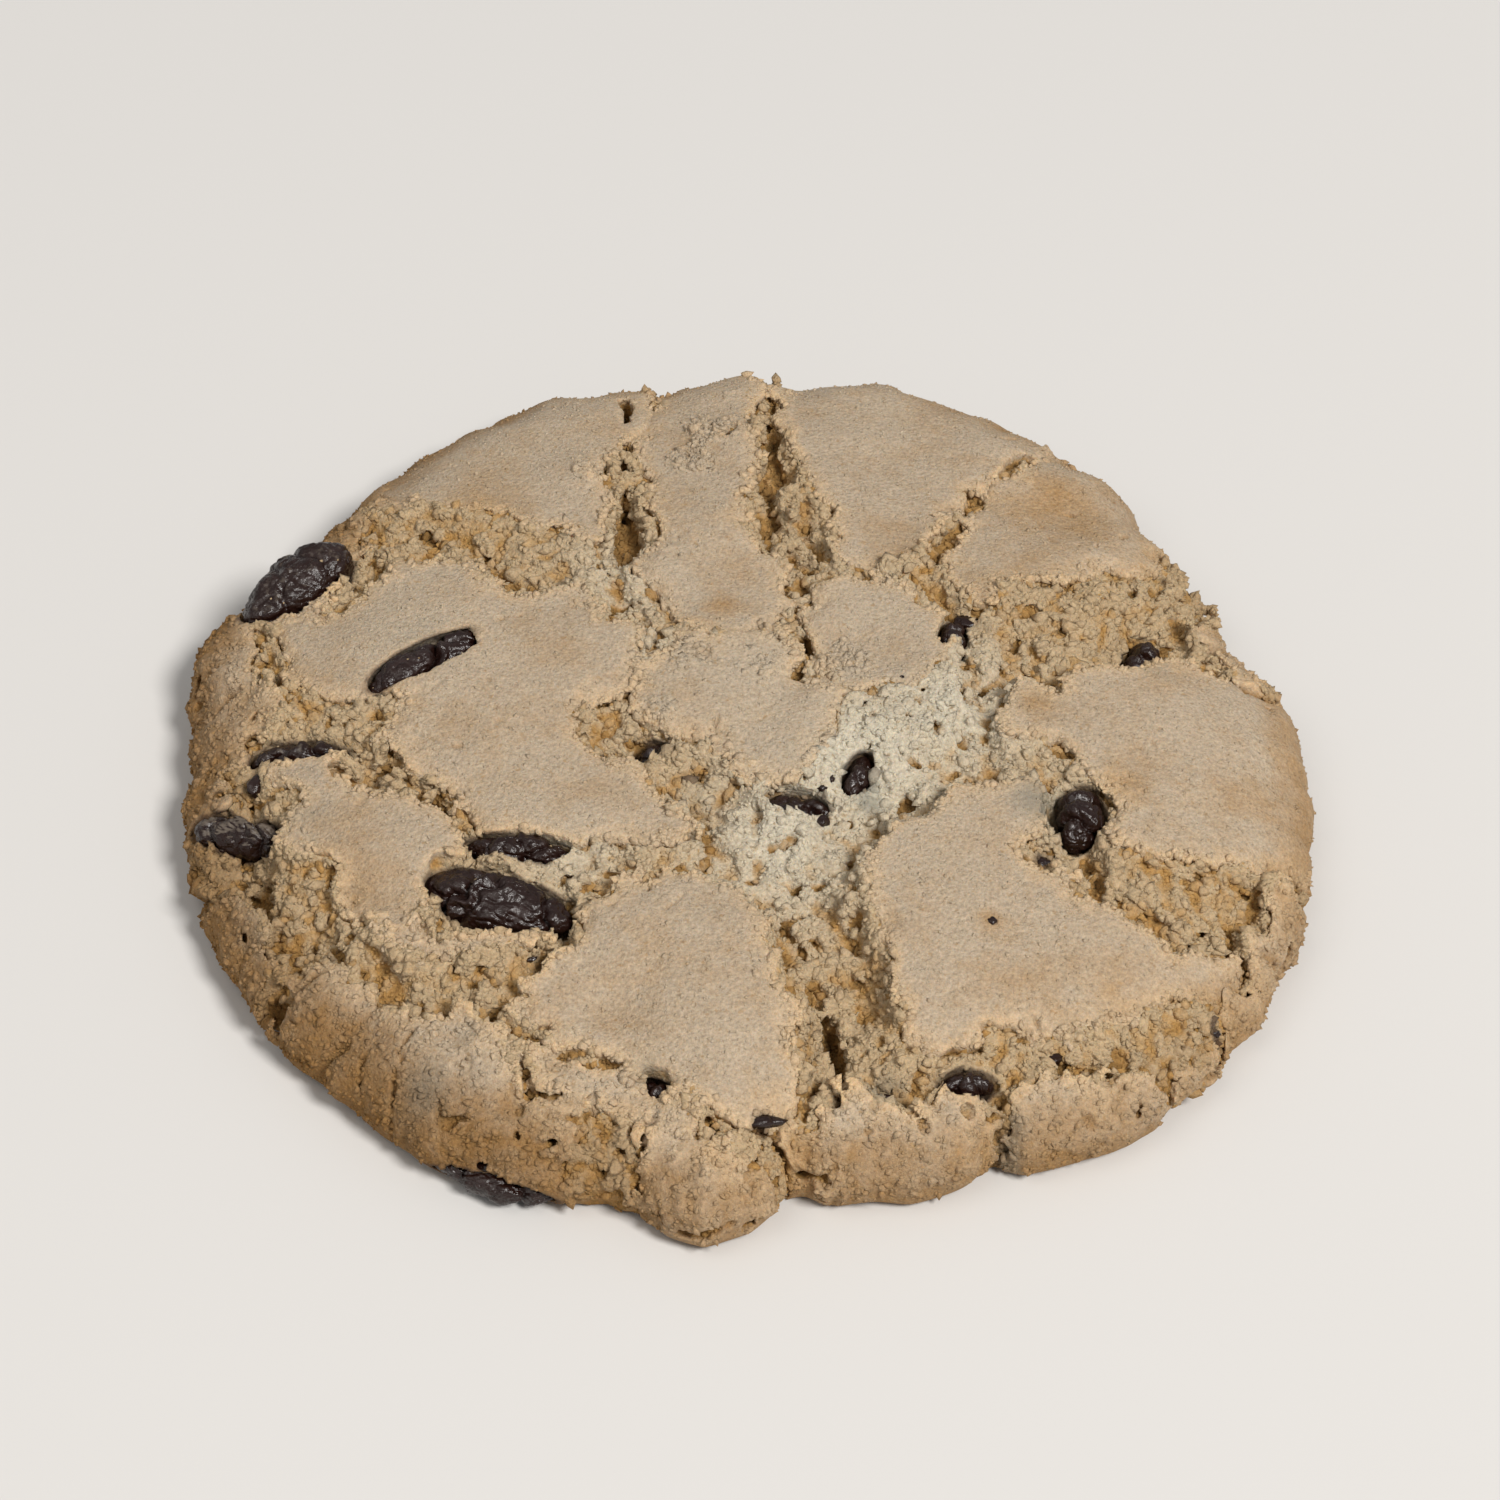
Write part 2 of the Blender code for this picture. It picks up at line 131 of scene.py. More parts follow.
# Outlines of the crust plates
PLATES = {
    "left_big": (
        (-39, 13.5), (-34.5, 14), (-33, 15.5), (-31.8, 19), (-31.8, 22.5), (-28.5, 20.5),
        (-23, 18.5), (-21, 16.5), (-19, 15), (-15.5, 15), (-12, 11), (-10, 11), (-9, 9), (-9, 5.5),
        (-9.8, 3), (-13, -0.5), (-13, -2), (-12, -4), (-10.5, -6.5), (-8.5, -6.8), (-6, -12),
        (-5.2, -14.5), (-14, -15.2), (-18, -15), (-22, -13.5), (-25, -8.5), (-28, -5.5),
        (-30.8, -2), (-29.5, 1.5), (-31, 3), (-35, 3.5), (-37.5, 4.5), (-39, 6.5), (-39.5, 10),
    ),
    "left_lower": (
        (-40, -3.2), (-36.5, -3.4), (-34, -4), (-31, -7.5), (-29, -9), (-27, -9), (-24.5, -12.8),
        (-22.8, -14.5), (-23.5, -16.5), (-26.2, -20), (-26, -22.5), (-25, -24), (-22.5, -25),
        (-16, -25.5), (-17, -26.3), (-25, -27.5), (-28.5, -26), (-30.5, -23), (-33, -17.5),
        (-35, -15.5), (-37, -14.5), (-38.7, -13), (-38.3, -9), (-40.3, -5),
    ),
    "front": (
        (-14, -22), (-11.5, -20.8), (-7, -19.2), (-4, -19.5), (-2, -20.3), (1.2, -24),
        (1.3, -27), (3, -33.5), (4.3, -39.5), (3.5, -41), (-1.5, -42.5), (-3, -42), (-6, -39),
        (-10, -37.8), (-14.5, -36), (-17.5, -33.5), (-19.5, -32.5), (-16.5, -30), (-14.5, -26),
    ),
    "right_front": (
        (8.5, -16), (11.5, -13.5), (12, -12), (14, -11.3), (16.5, -8.7), (21.5, -8), (23, -7),
        (25.2, -9), (25.3, -12), (24, -14.8), (22.5, -16.5), (24, -18), (26, -18.5),
        (26.8, -20.5), (29, -22), (34, -24.3), (39.5, -24), (39.7, -25.5), (36.5, -29),
        (31, -32), (23.5, -35), (19, -33.5), (18.3, -35), (12, -35.5), (12, -33), (10.8, -28),
        (10.2, -23.5), (9, -22), (10, -20.5), (9, -17.5),
    ),
    "right": (
        (23, 3.2), (26, 2), (27.5, 4.5), (30, 5.3), (35, 8), (40, 7.5), (46, 8), (54, 5),
        (54, -12), (46, -12), (44.5, -14.5), (38, -15.5), (30, -15.5), (28.8, -13.5), (30, -11),
        (29.5, -9), (26.5, -6.5), (25, -4.5), (21, -2.5), (21.5, 1.5),
    ),
    "back_right": (
        (16.5, 20), (18.5, 26.5), (22, 32), (25, 36), (36, 50), (46, 38), (36, 25), (36, 21),
        (35, 19), (31, 20), (28, 17.5), (22, 16), (20, 13.5), (18.5, 15),
    ),
    "back": (
        (3, 58), (18, 58), (36, 50), (28, 38), (21, 31.5), (18, 26), (15.5, 20.5), (12, 19.5),
        (8, 18), (6.5, 24), (4.5, 29.5), (4.3, 33), (2.8, 40),
    ),
    "back_middle": (
        (-7, 58), (0, 58), (0.5, 38), (1.5, 34), (1, 26), (2, 23), (4, 17), (3.5, 13), (2, 10.5),
        (-2, 9), (-6, 11), (-7.5, 14), (-10, 18), (-8.5, 28), (-9.8, 35), (-9, 38),
    ),
    "back_sliver": ((2.5, 30), (4.2, 30), (4.7, 26), (6, 19.5), (4.5, 20), (3, 22), (2, 28)),
    "back_left": (
        (-33, 30), (-42, 40), (-28, 54), (-10, 58), (-8.5, 43), (-9, 39), (-11, 37.5),
        (-12.3, 34), (-12, 28), (-11.8, 22), (-13, 20.5), (-17, 24), (-20, 24.5), (-23, 26),
        (-29, 28), (-31, 27),
    ),
    "centre": (
        (-6, 10), (-5, 9.3), (0, 9.3), (2.5, 10), (3.8, 9.5), (4.8, 3.5), (6, 2.2), (8, 1.8),
        (7.5, -1), (7.8, -2.5), (5.5, -7.5), (4, -10), (2.5, -11), (1.8, -9), (-1.5, -7),
        (-3, -3), (-6.5, -3), (-8.5, -2.5), (-9.7, 0), (-8.5, 5),
    ),
    "centre_right": (
        (5.5, 16.3), (8, 17), (13, 15.5), (14.5, 15), (15, 13), (16.5, 12), (16.5, 8),
        (15.5, 4.5), (14, 2.5), (8, 2.5), (6.3, 3.5), (5.5, 8), (4.2, 12.2), (6, 13.5),
    ),
}

# Outlines of the crust lobes round the rim, which run out past it
LOBES = {
    "left": (
        (-43.5, 20), (-43, 14), (-41.5, 9), (-40.5, 6), (-39, 3), (-40.5, 0), (-42.5, -4),
        (-42, -7), (-43.5, -8.5), (-54, -8), (-54, 18), (-46, 24),
    ),
    "left_front": (
        (-43, -15.5), (-41.5, -17), (-39.5, -19.5), (-39, -22.5), (-38, -24), (-39.5, -26.5),
        (-38, -29), (-47, -35), (-54, -20), (-52, -14),
    ),
    "front_left": (
        (-36.5, -26), (-34, -26), (-33, -28.5), (-30.5, -29.5), (-27, -31.5), (-22.5, -31.5),
        (-20.5, -32.5), (-18.5, -38), (-16.5, -42), (-14, -45), (-16, -54), (-36, -48), (-46, -33),
    ),
    "front_lump": (
        (-17, -36.5), (-14.5, -37), (-11, -38), (-8.5, -39.5), (-8, -41.5), (-10, -42.5),
        (-12.5, -42), (-14, -43), (-15, -41), (-16, -39),
    ),
    "front_bump": (
        (-9, -43), (-7, -42), (-5.5, -43), (-4, -44.5), (2, -46), (3, -54), (-12, -54),
    ),
    "front_lip": (
        (3, -43), (7, -40), (8.5, -39.5), (9.5, -41), (13, -41), (15, -39.5), (16.5, -39),
        (18.5, -42), (19, -44), (20, -54), (4, -54), (4.5, -46),
    ),
    "front_right": (
        (20, -41.5), (21, -38), (27, -37), (33, -34.5), (37, -31), (40, -26), (42, -20),
        (43, -16), (54, -14), (54, -26), (40, -44), (24, -54), (20.5, -50),
    ),
    "right_back": (
        (38.5, 15), (41.5, 8), (54, 9), (52, 32), (46, 38), (38, 30), (41, 25), (41, 19),
    ),
    "back_left_collar": (
        (-46, 24), (-43, 15), (-37, 14), (-34, 18), (-33, 24), (-34, 30), (-44, 38), (-54, 28),
    ),
}

# Grooves and pits deeper than the cracks: start, end, width and depth
GROOVES = {
    "front_trench": ((6.2, -32.0), (7.5, -40.0), 2.4, 6.0),
    "trench_rise": ((3.6, -22.0), (6.2, -32.0), 1.4, 4.2),
    "centre_groove": ((-4.8, -11.0), (-3.2, -20.0), 1.2, 3.6),
    "centre_slot": ((4.8, 4.5), (5.0, 9.5), 1.2, 3.4),
    "back_crack": ((-11.0, 44.0), (-10.6, 20.0), 1.3, 4.0),
    "back_middle_crack": ((2.4, 50.0), (1.9, 30.0), 1.1, 3.2),
    "back_right_crack": ((28.0, 42.0), (20.2, 30.0), 0.7, 1.6),
    "back_right_crack_end": ((20.2, 30.0), (16.0, 20.0), 1.0, 2.6),
    "right_hole": ((33.3, 9.6), (33.8, 12.6), 3.2, 4.6),
    "rim_pit": ((23.5, -36.0), (23.9, -36.0), 1.0, 3.0),
    "left_pit": ((-37.8, -26.6), (-37.2, -27.4), 1.6, 3.0),
    "left_pinhole": ((-24.8, -31.0), (-24.4, -31.1), 0.8, 2.4),
    "front_pinhole": ((-16.4, -27.0), (-16.1, -28.2), 0.9, 2.6),
    "front_left_crack": ((-12.2, -36.6), (-6.0, -40.2), 0.5, 1.8),
    "front_chip_crack": ((-6.0, -40.2), (-2.3, -43.6), 0.8, 3.0),
    "left_under_plate": ((-36.0, -3.6), (-31.5, -6.6), 1.2, 3.0),
    "left_big_under_plate": ((-29.8, -4.4), (-24.5, -11.0), 1.4, 3.4),
}

# How each plate lies: lift of its middle, then its rise per millimetre to the right and to the back
PLATE_TILTS = {
    "left_big": (0.10, 0.006, 0.012),
    "left_lower": (0.00, 0.020, 0.020),
    "front": (0.20, -0.010, 0.000),
    "right_front": (0.20, -0.010, 0.014),
    "right": (0.28, -0.020, 0.000),
    "back_right": (-0.10, 0.000, 0.000),
    "back": (0.00, 0.000, 0.000),
    "back_middle": (0.10, 0.020, 0.000),
    "back_sliver": (-0.10, 0.000, 0.000),
    "back_left": (0.20, 0.010, 0.000),
    "centre": (0.22, 0.030, 0.035),
    "centre_right": (0.15, 0.000, 0.015),
}

# Bumps and hollows: place, radius and height, a hollow's height being negative
RELIEF = (
    (13.0, 34.0, 8.0, -1.0), (27.0, 28.0, 5.5, -1.3), (21.0, 38.0, 4.5, 0.5),
    (30.0, 34.0, 4.0, 0.6),
    (35.5, 27.0, 3.5, 0.5), (9.0, 48.0, 4.0, 0.4), (-0.5, 36.0, 2.8, 0.6), (-1.0, 46.0, 3.2, 0.8),
    (-2.5, 16.0, 5.0, -0.3), (-4.0, 24.0, 4.0, 0.3), (-24.0, 33.0, 9.0, -0.3),
    (-22.0, 43.0, 3.0, -0.7), (-15.5, 42.5, 4.0, 0.7), (-15.0, 32.0, 3.5, 0.4),
    (-11.5, -33.0, 3.5, -0.9), (-1.0, -30.0, 7.0, 0.3), (-7.0, -24.0, 4.0, 0.3),
    (-20.0, 2.0, 9.0, 0.25), (-31.0, 10.0, 4.0, 0.3), (17.0, -24.0, 9.0, 0.25),
    (37.0, -2.0, 7.0, 0.25), (24.0, 2.0, 2.5, 0.5), (32.5, 12.5, 4.0, -1.6),
    (12.0, -3.0, 6.0, 1.5), (17.5, 0.5, 4.5, 1.1),
    (12.0, -0.8, 2.2, 0.8), (15.8, 1.2, 1.8, 0.6), (3.0, -14.5, 4.0, 0.8), (-1.0, -14.0, 3.0, 0.7),
    (-13.0, 18.0, 4.5, 0.5), (24.0, 12.0, 4.0, 0.4), (8.0, -19.0, 2.5, 0.5), (6.5, 17.5, 2.0, 0.4),
    (-10.1, 8.8, 1.3, 1.2), (-37.5, -8.0, 2.5, 0.6), (20.5, 7.0, 3.0, 0.7), (27.0, 7.5, 3.0, 0.6),
    (22.5, -38.5, 2.2, 1.3), (8.5, -41.0, 2.0, 0.9), (15.0, -41.0, 2.2, 0.8),
    (12.0, -45.0, 3.5, 0.5),
    (-12.0, -40.0, 2.6, 0.9), (-6.5, -44.5, 2.6, 0.9), (-2.0, -47.0, 3.0, 0.6),
    (-24.0, -40.0, 6.0, 0.5), (-33.0, -33.0, 3.0, -0.5), (-27.0, -35.0, 3.0, 0.4),
    (-18.5, -39.5, 1.8, -1.0), (3.8, -44.0, 1.8, -1.3), (19.6, -42.0, 1.6, -1.1),
    (-43.5, 10.0, 3.0, 0.5), (-44.0, -2.0, 3.0, -0.6), (-28.0, -20.0, 3.0, -0.3),
    (-33.0, -20.0, 2.5, -0.7), (40.0, -19.0, 4.0, -0.5), (45.0, 20.0, 3.0, -0.5),
    (31.0, 15.0, 4.0, 0.4), (29.0, -38.0, 3.0, 0.6), (36.0, -31.0, 2.5, 0.4),
)

# Clusters of grains that stand on the crust: place and radius
CLUSTERS = (
    (-4.5, 6.5, 1.9), (1.0, 5.0, 2.3), (2.9, 8.4, 1.1), (8.2, 6.6, 1.8), (6.6, 5.0, 1.2),
    (11.8, -0.8, 1.6), (-7.5, -1.0, 1.3), (-16.0, -23.4, 1.0), (-37.5, 20.6, 1.6),
    (-3.0, 38.0, 2.2), (-4.5, 33.0, 1.8), (-14.0, 31.0, 1.8),
)

# Hairline cracks in the crust: the points that each runs through
HAIRLINES = (
    ((-8.0, -20.5), (-7.8, -22.5), (-7.2, -25.0)),
    ((-1.5, -24.0), (-0.8, -25.0), (0.2, -26.6)),
    ((17.5, -30.5), (17.9, -32.2), (18.5, -34.0)),
    ((22.0, -32.0), (22.8, -33.4), (23.4, -35.0)),
    ((-3.8, 12.6), (-2.2, 13.0), (-0.6, 13.8)),
    ((-2.5, -1.0), (-2.9, -2.4), (-2.7, -4.0)),
    ((2.2, -2.5), (1.6, -4.5), (2.2, -6.5)),
    ((-11.6, -37.2), (-9.0, -38.8), (-6.5, -41.0), (-2.3, -44.5)),
    ((-29.5, -33.4), (-30.6, -34.6), (-30.8, -36.6)),
    ((-26.5, -33.5), (-27.5, -35.0), (-27.0, -37.0)),
    ((-21.0, 11.0), (-19.0, 11.6), (-17.6, 11.2)),
)


def length_setting(name, description, default, **more):
    """A length in metres that a user may change."""
    return FloatProperty(
        name=name, description=description, default=default, unit="LENGTH", precision=5, **more
    )


def colour_setting(name, description, default):
    """A colour that a user may change."""
    return FloatVectorProperty(
        name=name, description=description, default=default, subtype="COLOR"
    )


def count_setting(name, description, default):
    """A whole number that a user may change."""
    return IntProperty(name=name, description=description, default=default)


class CookieDoughSettings(bpy.types.PropertyGroup):
    """Sizes and colours of the crust and the crumb."""

    voxel: length_setting(
        "Cell size", "Cell of the volume that the dough is meshed from", 0.0002, min=0.0002
    )
    triangles: count_setting("Triangles", "Triangles left in each piece of dough", 198000)
    crack_depth: length_setting("Crack depth", "Deepest floor of the open cracks", 0.0030)
    crust_thickness: length_setting(
        "Crust thickness", "Thickness of the loose crust plates", 0.0014
    )
    ragged: length_setting("Ragged edge", "How far the plates' broken edges wander", 0.00050)
    grain: length_setting("Crumb grain", "Width of the grains that the crumb breaks into", 0.00080)
    crust_colour: colour_setting("Crust", "Colour of the baked crust", (0.455, 0.362, 0.258))
    # Browned crust colour, also laid into the crust's hollows and creases as painted shade
    crust_dark_colour: colour_setting(
        "Browned crust", "Colour of the crust where it browned", (0.37, 0.225, 0.100)
    )
    # Peach of the painted highlight on the crust's raised edges and convex bumps
    edge_highlight_colour: colour_setting(
        "Crust edge", "Colour of the crust's raised edges", (0.60, 0.42, 0.24)
    )
    crumb_colour: colour_setting("Crumb", "Colour of the crumb", (0.455, 0.335, 0.200))
    # Browned flank colour, laid on more strongly on the left side as painted shade
    flank_colour: colour_setting(
        "Flank", "Colour of the browned flank near the floor", (0.20, 0.100, 0.026)
    )
    pale_colour: colour_setting(
        "Pale crumb", "Colour of the palest crumb, near the middle", (0.58, 0.53, 0.42)
    )
    # Golden crumb, also the colour of painted warm shade in hollows and creases
    golden_colour: colour_setting(
        "Golden crumb", "Colour of the crumb deep in the cracks", (0.42, 0.240, 0.080)
    )


class CookieChipSettings(bpy.types.PropertyGroup):
    """Sizes and colours of the chocolate chips."""

    subdivisions: count_setting("Subdivisions", "Subdivisions of a chip's coarse shape", 4)
    fold_depth: length_setting("Fold depth", "Depth of the folds of a large chip", 0.0011)
    chocolate_colour: colour_setting(
        "Chocolate", "Colour of the chocolate", (0.014, 0.0048, 0.0032)
    )
    bloom_colour: colour_setting(
        "Bloom", "Colour of the chocolate's dull bloom", (0.052, 0.031, 0.028)
    )


class CookieCrumbSettings(bpy.types.PropertyGroup):
    """Amount of the grains and crumbs on the dough."""

    share: FloatProperty(
        name="Amount", description="Share of the usual number of grains", default=1.0,
        min=0.0, max=1.0, subtype="FACTOR",
    )
    seed: count_setting("Seed", "Seed of the grains' places", 4)


class CookieStageSettings(bpy.types.PropertyGroup):
    """Floor, lights and camera."""

    elevation: FloatProperty(
        name="Camera elevation", description="Angle of the camera above the floor",
        default=math.radians(44.0), subtype="ANGLE",
    )
    distance: length_setting("Camera distance", "Distance from the camera to the cookie", 0.42)
    floor_colour: colour_setting("Floor", "Colour of the floor", (0.66, 0.65, 0.63))


# Shader expressions


class Number:
    """A number in a shader: arithmetic on it adds Math nodes."""

    def __init__(self, shader, socket):
        self.shader = shader
        self.socket = socket

    def _math(self, operation, *values):
        node = self.shader.node("ShaderNodeMath", {"operation": operation}, dict(enumerate(values)))
        return Number(self.shader, node.outputs[0])

    def __add__(self, other):
        return self._math("ADD", self, other)

    __radd__ = __add__

    def __sub__(self, other):
        return self._math("SUBTRACT", self, other)

    def __rsub__(self, other):
        return self._math("SUBTRACT", other, self)

    def __mul__(self, other):
        return self._math("MULTIPLY", self, other)

    __rmul__ = __mul__

    def clamp(self):
        """The number held between 0 and 1."""
        node = self.shader.node("ShaderNodeClamp", {}, {"Value": self})
        return Number(self.shader, node.outputs[0])

    def rise(self, low, high):
        """From 0 to 1, smoothly, as the number goes from low to high."""
        settings = {"interpolation_type": "SMOOTHSTEP"}
        inputs = {"Value": self, "From Min": low, "From Max": high}
        node = self.shader.node("ShaderNodeMapRange", settings, inputs)
        return Number(self.shader, node.outputs[0])


class Shader:
    """A Principled material whose nodes are added by name."""

    def __init__(self, name, **constants):
        self.material = bpy.data.materials.new(name)
        self.material.use_nodes = True
        self.tree = self.material.node_tree
        self.surface = self.tree.nodes["Principled BSDF"]
        for socket, value in constants.items():
            self.surface.inputs[socket.replace("_", " ")].default_value = value
        self.place = self.node("ShaderNodeTexCoord", {}, {}).outputs["Object"]

    def node(self, kind, settings, inputs):
        """Add a node: its settings first, then the values or links of its sockets."""
        node = self.tree.nodes.new(kind)
        for name, value in settings.items():
            setattr(node, name, value)
        for key, value in inputs.items():
            self.feed(node.inputs[key], value)
        return node

    def feed(self, socket, value):
        """Link or set one socket."""
        if isinstance(value, Number):
            value = value.socket
        if isinstance(value, bpy.types.NodeSocket):
            self.tree.links.new(value, socket)
        else:
            socket.default_value = value

    def attribute(self, name):
        """A number stored on the mesh."""
        node = self.node("ShaderNodeAttribute", {"attribute_name": name}, {})
        return Number(self, node.outputs["Fac"])

    def cloud(self, length, detail, roughness):
        """Cloudy noise whose features have the given length in millimetres."""
        inputs = {
            "Vector": self.place, "Scale": 1.0 / (length * MM), "Detail": detail,
            "Roughness": roughness,
        }
        node = self.node("ShaderNodeTexNoise", {}, inputs)
        return Number(self, node.outputs[0])

    def cells(self, length):
        """Distance to scattered points that are about the given length apart."""
        inputs = {"Vector": self.place, "Scale": 1.0 / (length * MM)}
        node = self.node("ShaderNodeTexVoronoi", {}, inputs)
        return Number(self, node.outputs["Distance"])

    def blend(self, share, first, second, blend_type="MIX"):
        """A colour between two colours."""
        settings = {"data_type": "RGBA", "blend_type": blend_type}
        node = self.node("ShaderNodeMix", settings, {0: share, 6: first, 7: second})
        return node.outputs[2]

    def bump(self, height, distance, strength):
        """Raise the surface by a height of 0 to 1 times a distance in millimetres."""
        inputs = {"Height": height, "Distance": distance * MM, "Strength": strength}
        node = self.node("ShaderNodeBump", {}, inputs)
        self.feed(self.surface.inputs["Normal"], node.outputs["Normal"])


def paint(colour, factor=1.0):
    """A four-part colour from a property's colour, made lighter or darker."""
    return (colour[0] * factor, colour[1] * factor, colour[2] * factor, 1.0)


# Colours of the dough near chips, of its chocolate smears and of the dust on the chips
GREY_TINT = (0.150, 0.160, 0.140, 1.0)
CHOCOLATE_STAIN = (0.045, 0.026, 0.020, 1.0)
CRUMB_DUST = (0.30, 0.25, 0.19, 1.0)

# How far light shines into the dough, and how much of it does in the pieces and in the grains
SUBSURFACE_SCALE = 0.0008
SUBSURFACE_RADIUS = (1.0, 0.60, 0.33)
DOUGH_SUBSURFACE = 0.30
GRAIN_SUBSURFACE = 0.12


def dough_material(settings, name, subsurface):
    """Sandy crust and crumb, told apart by the mesh's attributes, with shade painted in hollows,
    creases and the left flank, and highlight painted on convex edges.
    """
    shader = Shader(
        name, Roughness=0.85, Specular_IOR_Level=0.2, Subsurface_Weight=subsurface,
        Subsurface_Scale=SUBSURFACE_SCALE, Subsurface_Radius=SUBSURFACE_RADIUS,
    )
    names = ("crust", "flank", "hollow", "crease", "browned", "pale", "border", "tint", "smear")
    crust, flank, hollow, crease, browned, pale, border, tinted, smear = (
        shader.attribute(name) for name in names
    )

    patches = shader.cloud(7.0, 4.0, 0.6)
    mottle = shader.cloud(1.6, 5.0, 0.7)
    sand = shader.cloud(0.26, 3.0, 0.75)
    grains = shader.cells(0.42)

    light = paint(settings.crust_colour)
    palest = paint(settings.pale_colour)

    # Crust tone: darker with its browning, random mottle and the flank, and in hollows and creases
    # as painted shade
    tone = (patches - 0.5) * 1.5 + (mottle - 0.5) * 0.9 + browned * 0.9 + flank * 0.6
    tone = (tone + hollow * 0.35 + crease * 0.35 + 0.12 - pale * 0.2).clamp()
    crust_colour = shader.blend(tone, light, paint(settings.crust_dark_colour))
    # Painted highlight: peach lightening on convex bumps, where the crease measure is negative, and
    # near the crust's broken edges
    ridge_highlight = (border * 0.45 + (0.0 - crease) * 0.55 + (mottle - 0.5) * 0.6 - 0.05).clamp()
    peach_highlight = paint(settings.edge_highlight_colour)
    crust_colour = shader.blend(ridge_highlight * (1.0 - flank), crust_colour, peach_highlight)
    whiter = shader.blend(0.5, light, palest)
    crust_colour = shader.blend((pale * 0.35).clamp(), crust_colour, whiter)

    crumb_colour = shader.blend((pale * 0.9).clamp(), paint(settings.crumb_colour), palest)
    # Crumb turns golden with random mottle, browning and the flank, and in hollows and creases as
    # painted warm shade, partly the browner crumb in the cracks
    deep = hollow * 1.0 + crease * 0.9 + (mottle - 0.5) * 1.6 + browned * 0.6 + flank * 0.5
    deep = (deep + 0.08 - pale * 0.45).clamp()
    crumb_colour = shader.blend(deep, crumb_colour, paint(settings.golden_colour))
    # Painted shade: darker golden deep in hollows and creases
    deepest = (hollow * 0.9 + crease * 0.8).rise(0.5, 1.5) * 0.85
    crumb_colour = shader.blend(deepest, crumb_colour, paint(settings.golden_colour, 0.50))
    base = shader.blend(crust, crumb_colour, crust_colour)
    # Browned flank near the floor, laid on more strongly on the left as painted shade
    low = (flank * (mottle + 0.45)).clamp()
    base = shader.blend(low * 0.90, base, paint(settings.flank_colour))

    shade = (sand - 0.5) * 1.15 + (grains - 0.45) * 0.25 + 1.0
    shade_colour = shader.node("ShaderNodeCombineColor", {}, {0: shade, 1: shade, 2: shade})
    base = shader.blend(1.0, base, shade_colour.outputs[0], "MULTIPLY")
    speck = shader.cloud(0.55, 2.0, 0.5).rise(0.62, 0.74) * 0.45
    base = shader.blend(speck, base, paint(settings.golden_colour, 0.8))
    tint = (tinted * (patches + 0.6)).rise(0.15, 1.0) * 0.55
    base = shader.blend(tint, base, GREY_TINT)
    stained = (smear * (mottle + 0.55)).rise(0.35, 0.85)
    base = shader.blend(stained * 0.85, base, CHOCOLATE_STAIN)
    shader.feed(shader.surface.inputs["Base Color"], base)

    fine = (sand - 0.5) * 0.9
    lumps = (0.6 - grains) * (0.35 + 0.25 * (1.0 - crust))
    shader.bump(fine + lumps + mottle * 0.5, 0.22, 1.0)
    return shader.material


def chocolate_material(settings):
    """Dark chocolate with a dull bloom and fine wrinkles."""
    shader = Shader("dark_chocolate", Specular_IOR_Level=0.5)
    patches = shader.cloud(2.6, 3.0, 0.6)
    wrinkles = shader.cloud(0.55, 4.0, 0.65)
    worn = shader.attribute("worn")
    bloom = (patches.rise(0.55, 0.80) * 0.5 + worn * 0.4 * wrinkles.rise(0.42, 0.65)).clamp()
    chocolate = paint(settings.chocolate_colour)
    colour = shader.blend(bloom * 0.8, chocolate, paint(settings.bloom_colour))
    dusty = (shader.attribute("dust") * shader.cloud(0.8, 3.0, 0.6)).rise(0.30, 0.5)
    colour = shader.blend(dusty * 0.35, colour, CRUMB_DUST)
    shader.feed(shader.surface.inputs["Base Color"], colour)
    shader.feed(shader.surface.inputs["Roughness"], 0.22 + bloom * 0.30 + dusty * 0.3)
    shader.bump(wrinkles + shader.cells(0.8) * 0.25, 0.16, 0.8)
    return shader.material


# Fields over the plan and through the volume, in millimetres


def smooth_step(low, high, values):
    """Rise from 0 to 1 between two values."""
    share = np.clip((values - low) / (high - low), 0.0, 1.0)
    return share * share * (3.0 - 2.0 * share)


def rim_radius(x, y):
    """Radius of the rim in the direction of a plan position."""
    angles, radii = zip(*RIM)
    return np.interp(np.degrees(np.arctan2(y, x)), angles, radii, period=360.0)


def outline_distance(x, y, outline):
    """Distance to a closed outline, negative inside it."""
    nearest = np.full(x.shape, np.inf)
    inside = np.zeros(x.shape, dtype=bool)
    for (ax, ay), (bx, by) in zip(outline, outline[1:] + outline[:1]):
        run_x = bx - ax
        run_y = by - ay
        along = ((x - ax) * run_x + (y - ay) * run_y) / (run_x ** 2 + run_y ** 2)
        along = np.clip(along, 0.0, 1.0)
        nearest = np.minimum(nearest, (x - ax - along * run_x) ** 2 + (y - ay - along * run_y) ** 2)
        if ay != by:
            crosses = (ay > y) != (by > y)
            inside ^= crosses & (x < ax + (y - ay) * run_x / run_y)
    nearest = np.sqrt(nearest)
    return np.where(inside, -nearest, nearest)


def line_distance(x, y, start, end):
    """Distance to a straight line in plan."""
    run_x = end[0] - start[0]
    run_y = end[1] - start[1]
    along = ((x - start[0]) * run_x + (y - start[1]) * run_y) / (run_x ** 2 + run_y ** 2)
    along = np.clip(along, 0.0, 1.0)
    return np.hypot(x - start[0] - along * run_x, y - start[1] - along * run_y)


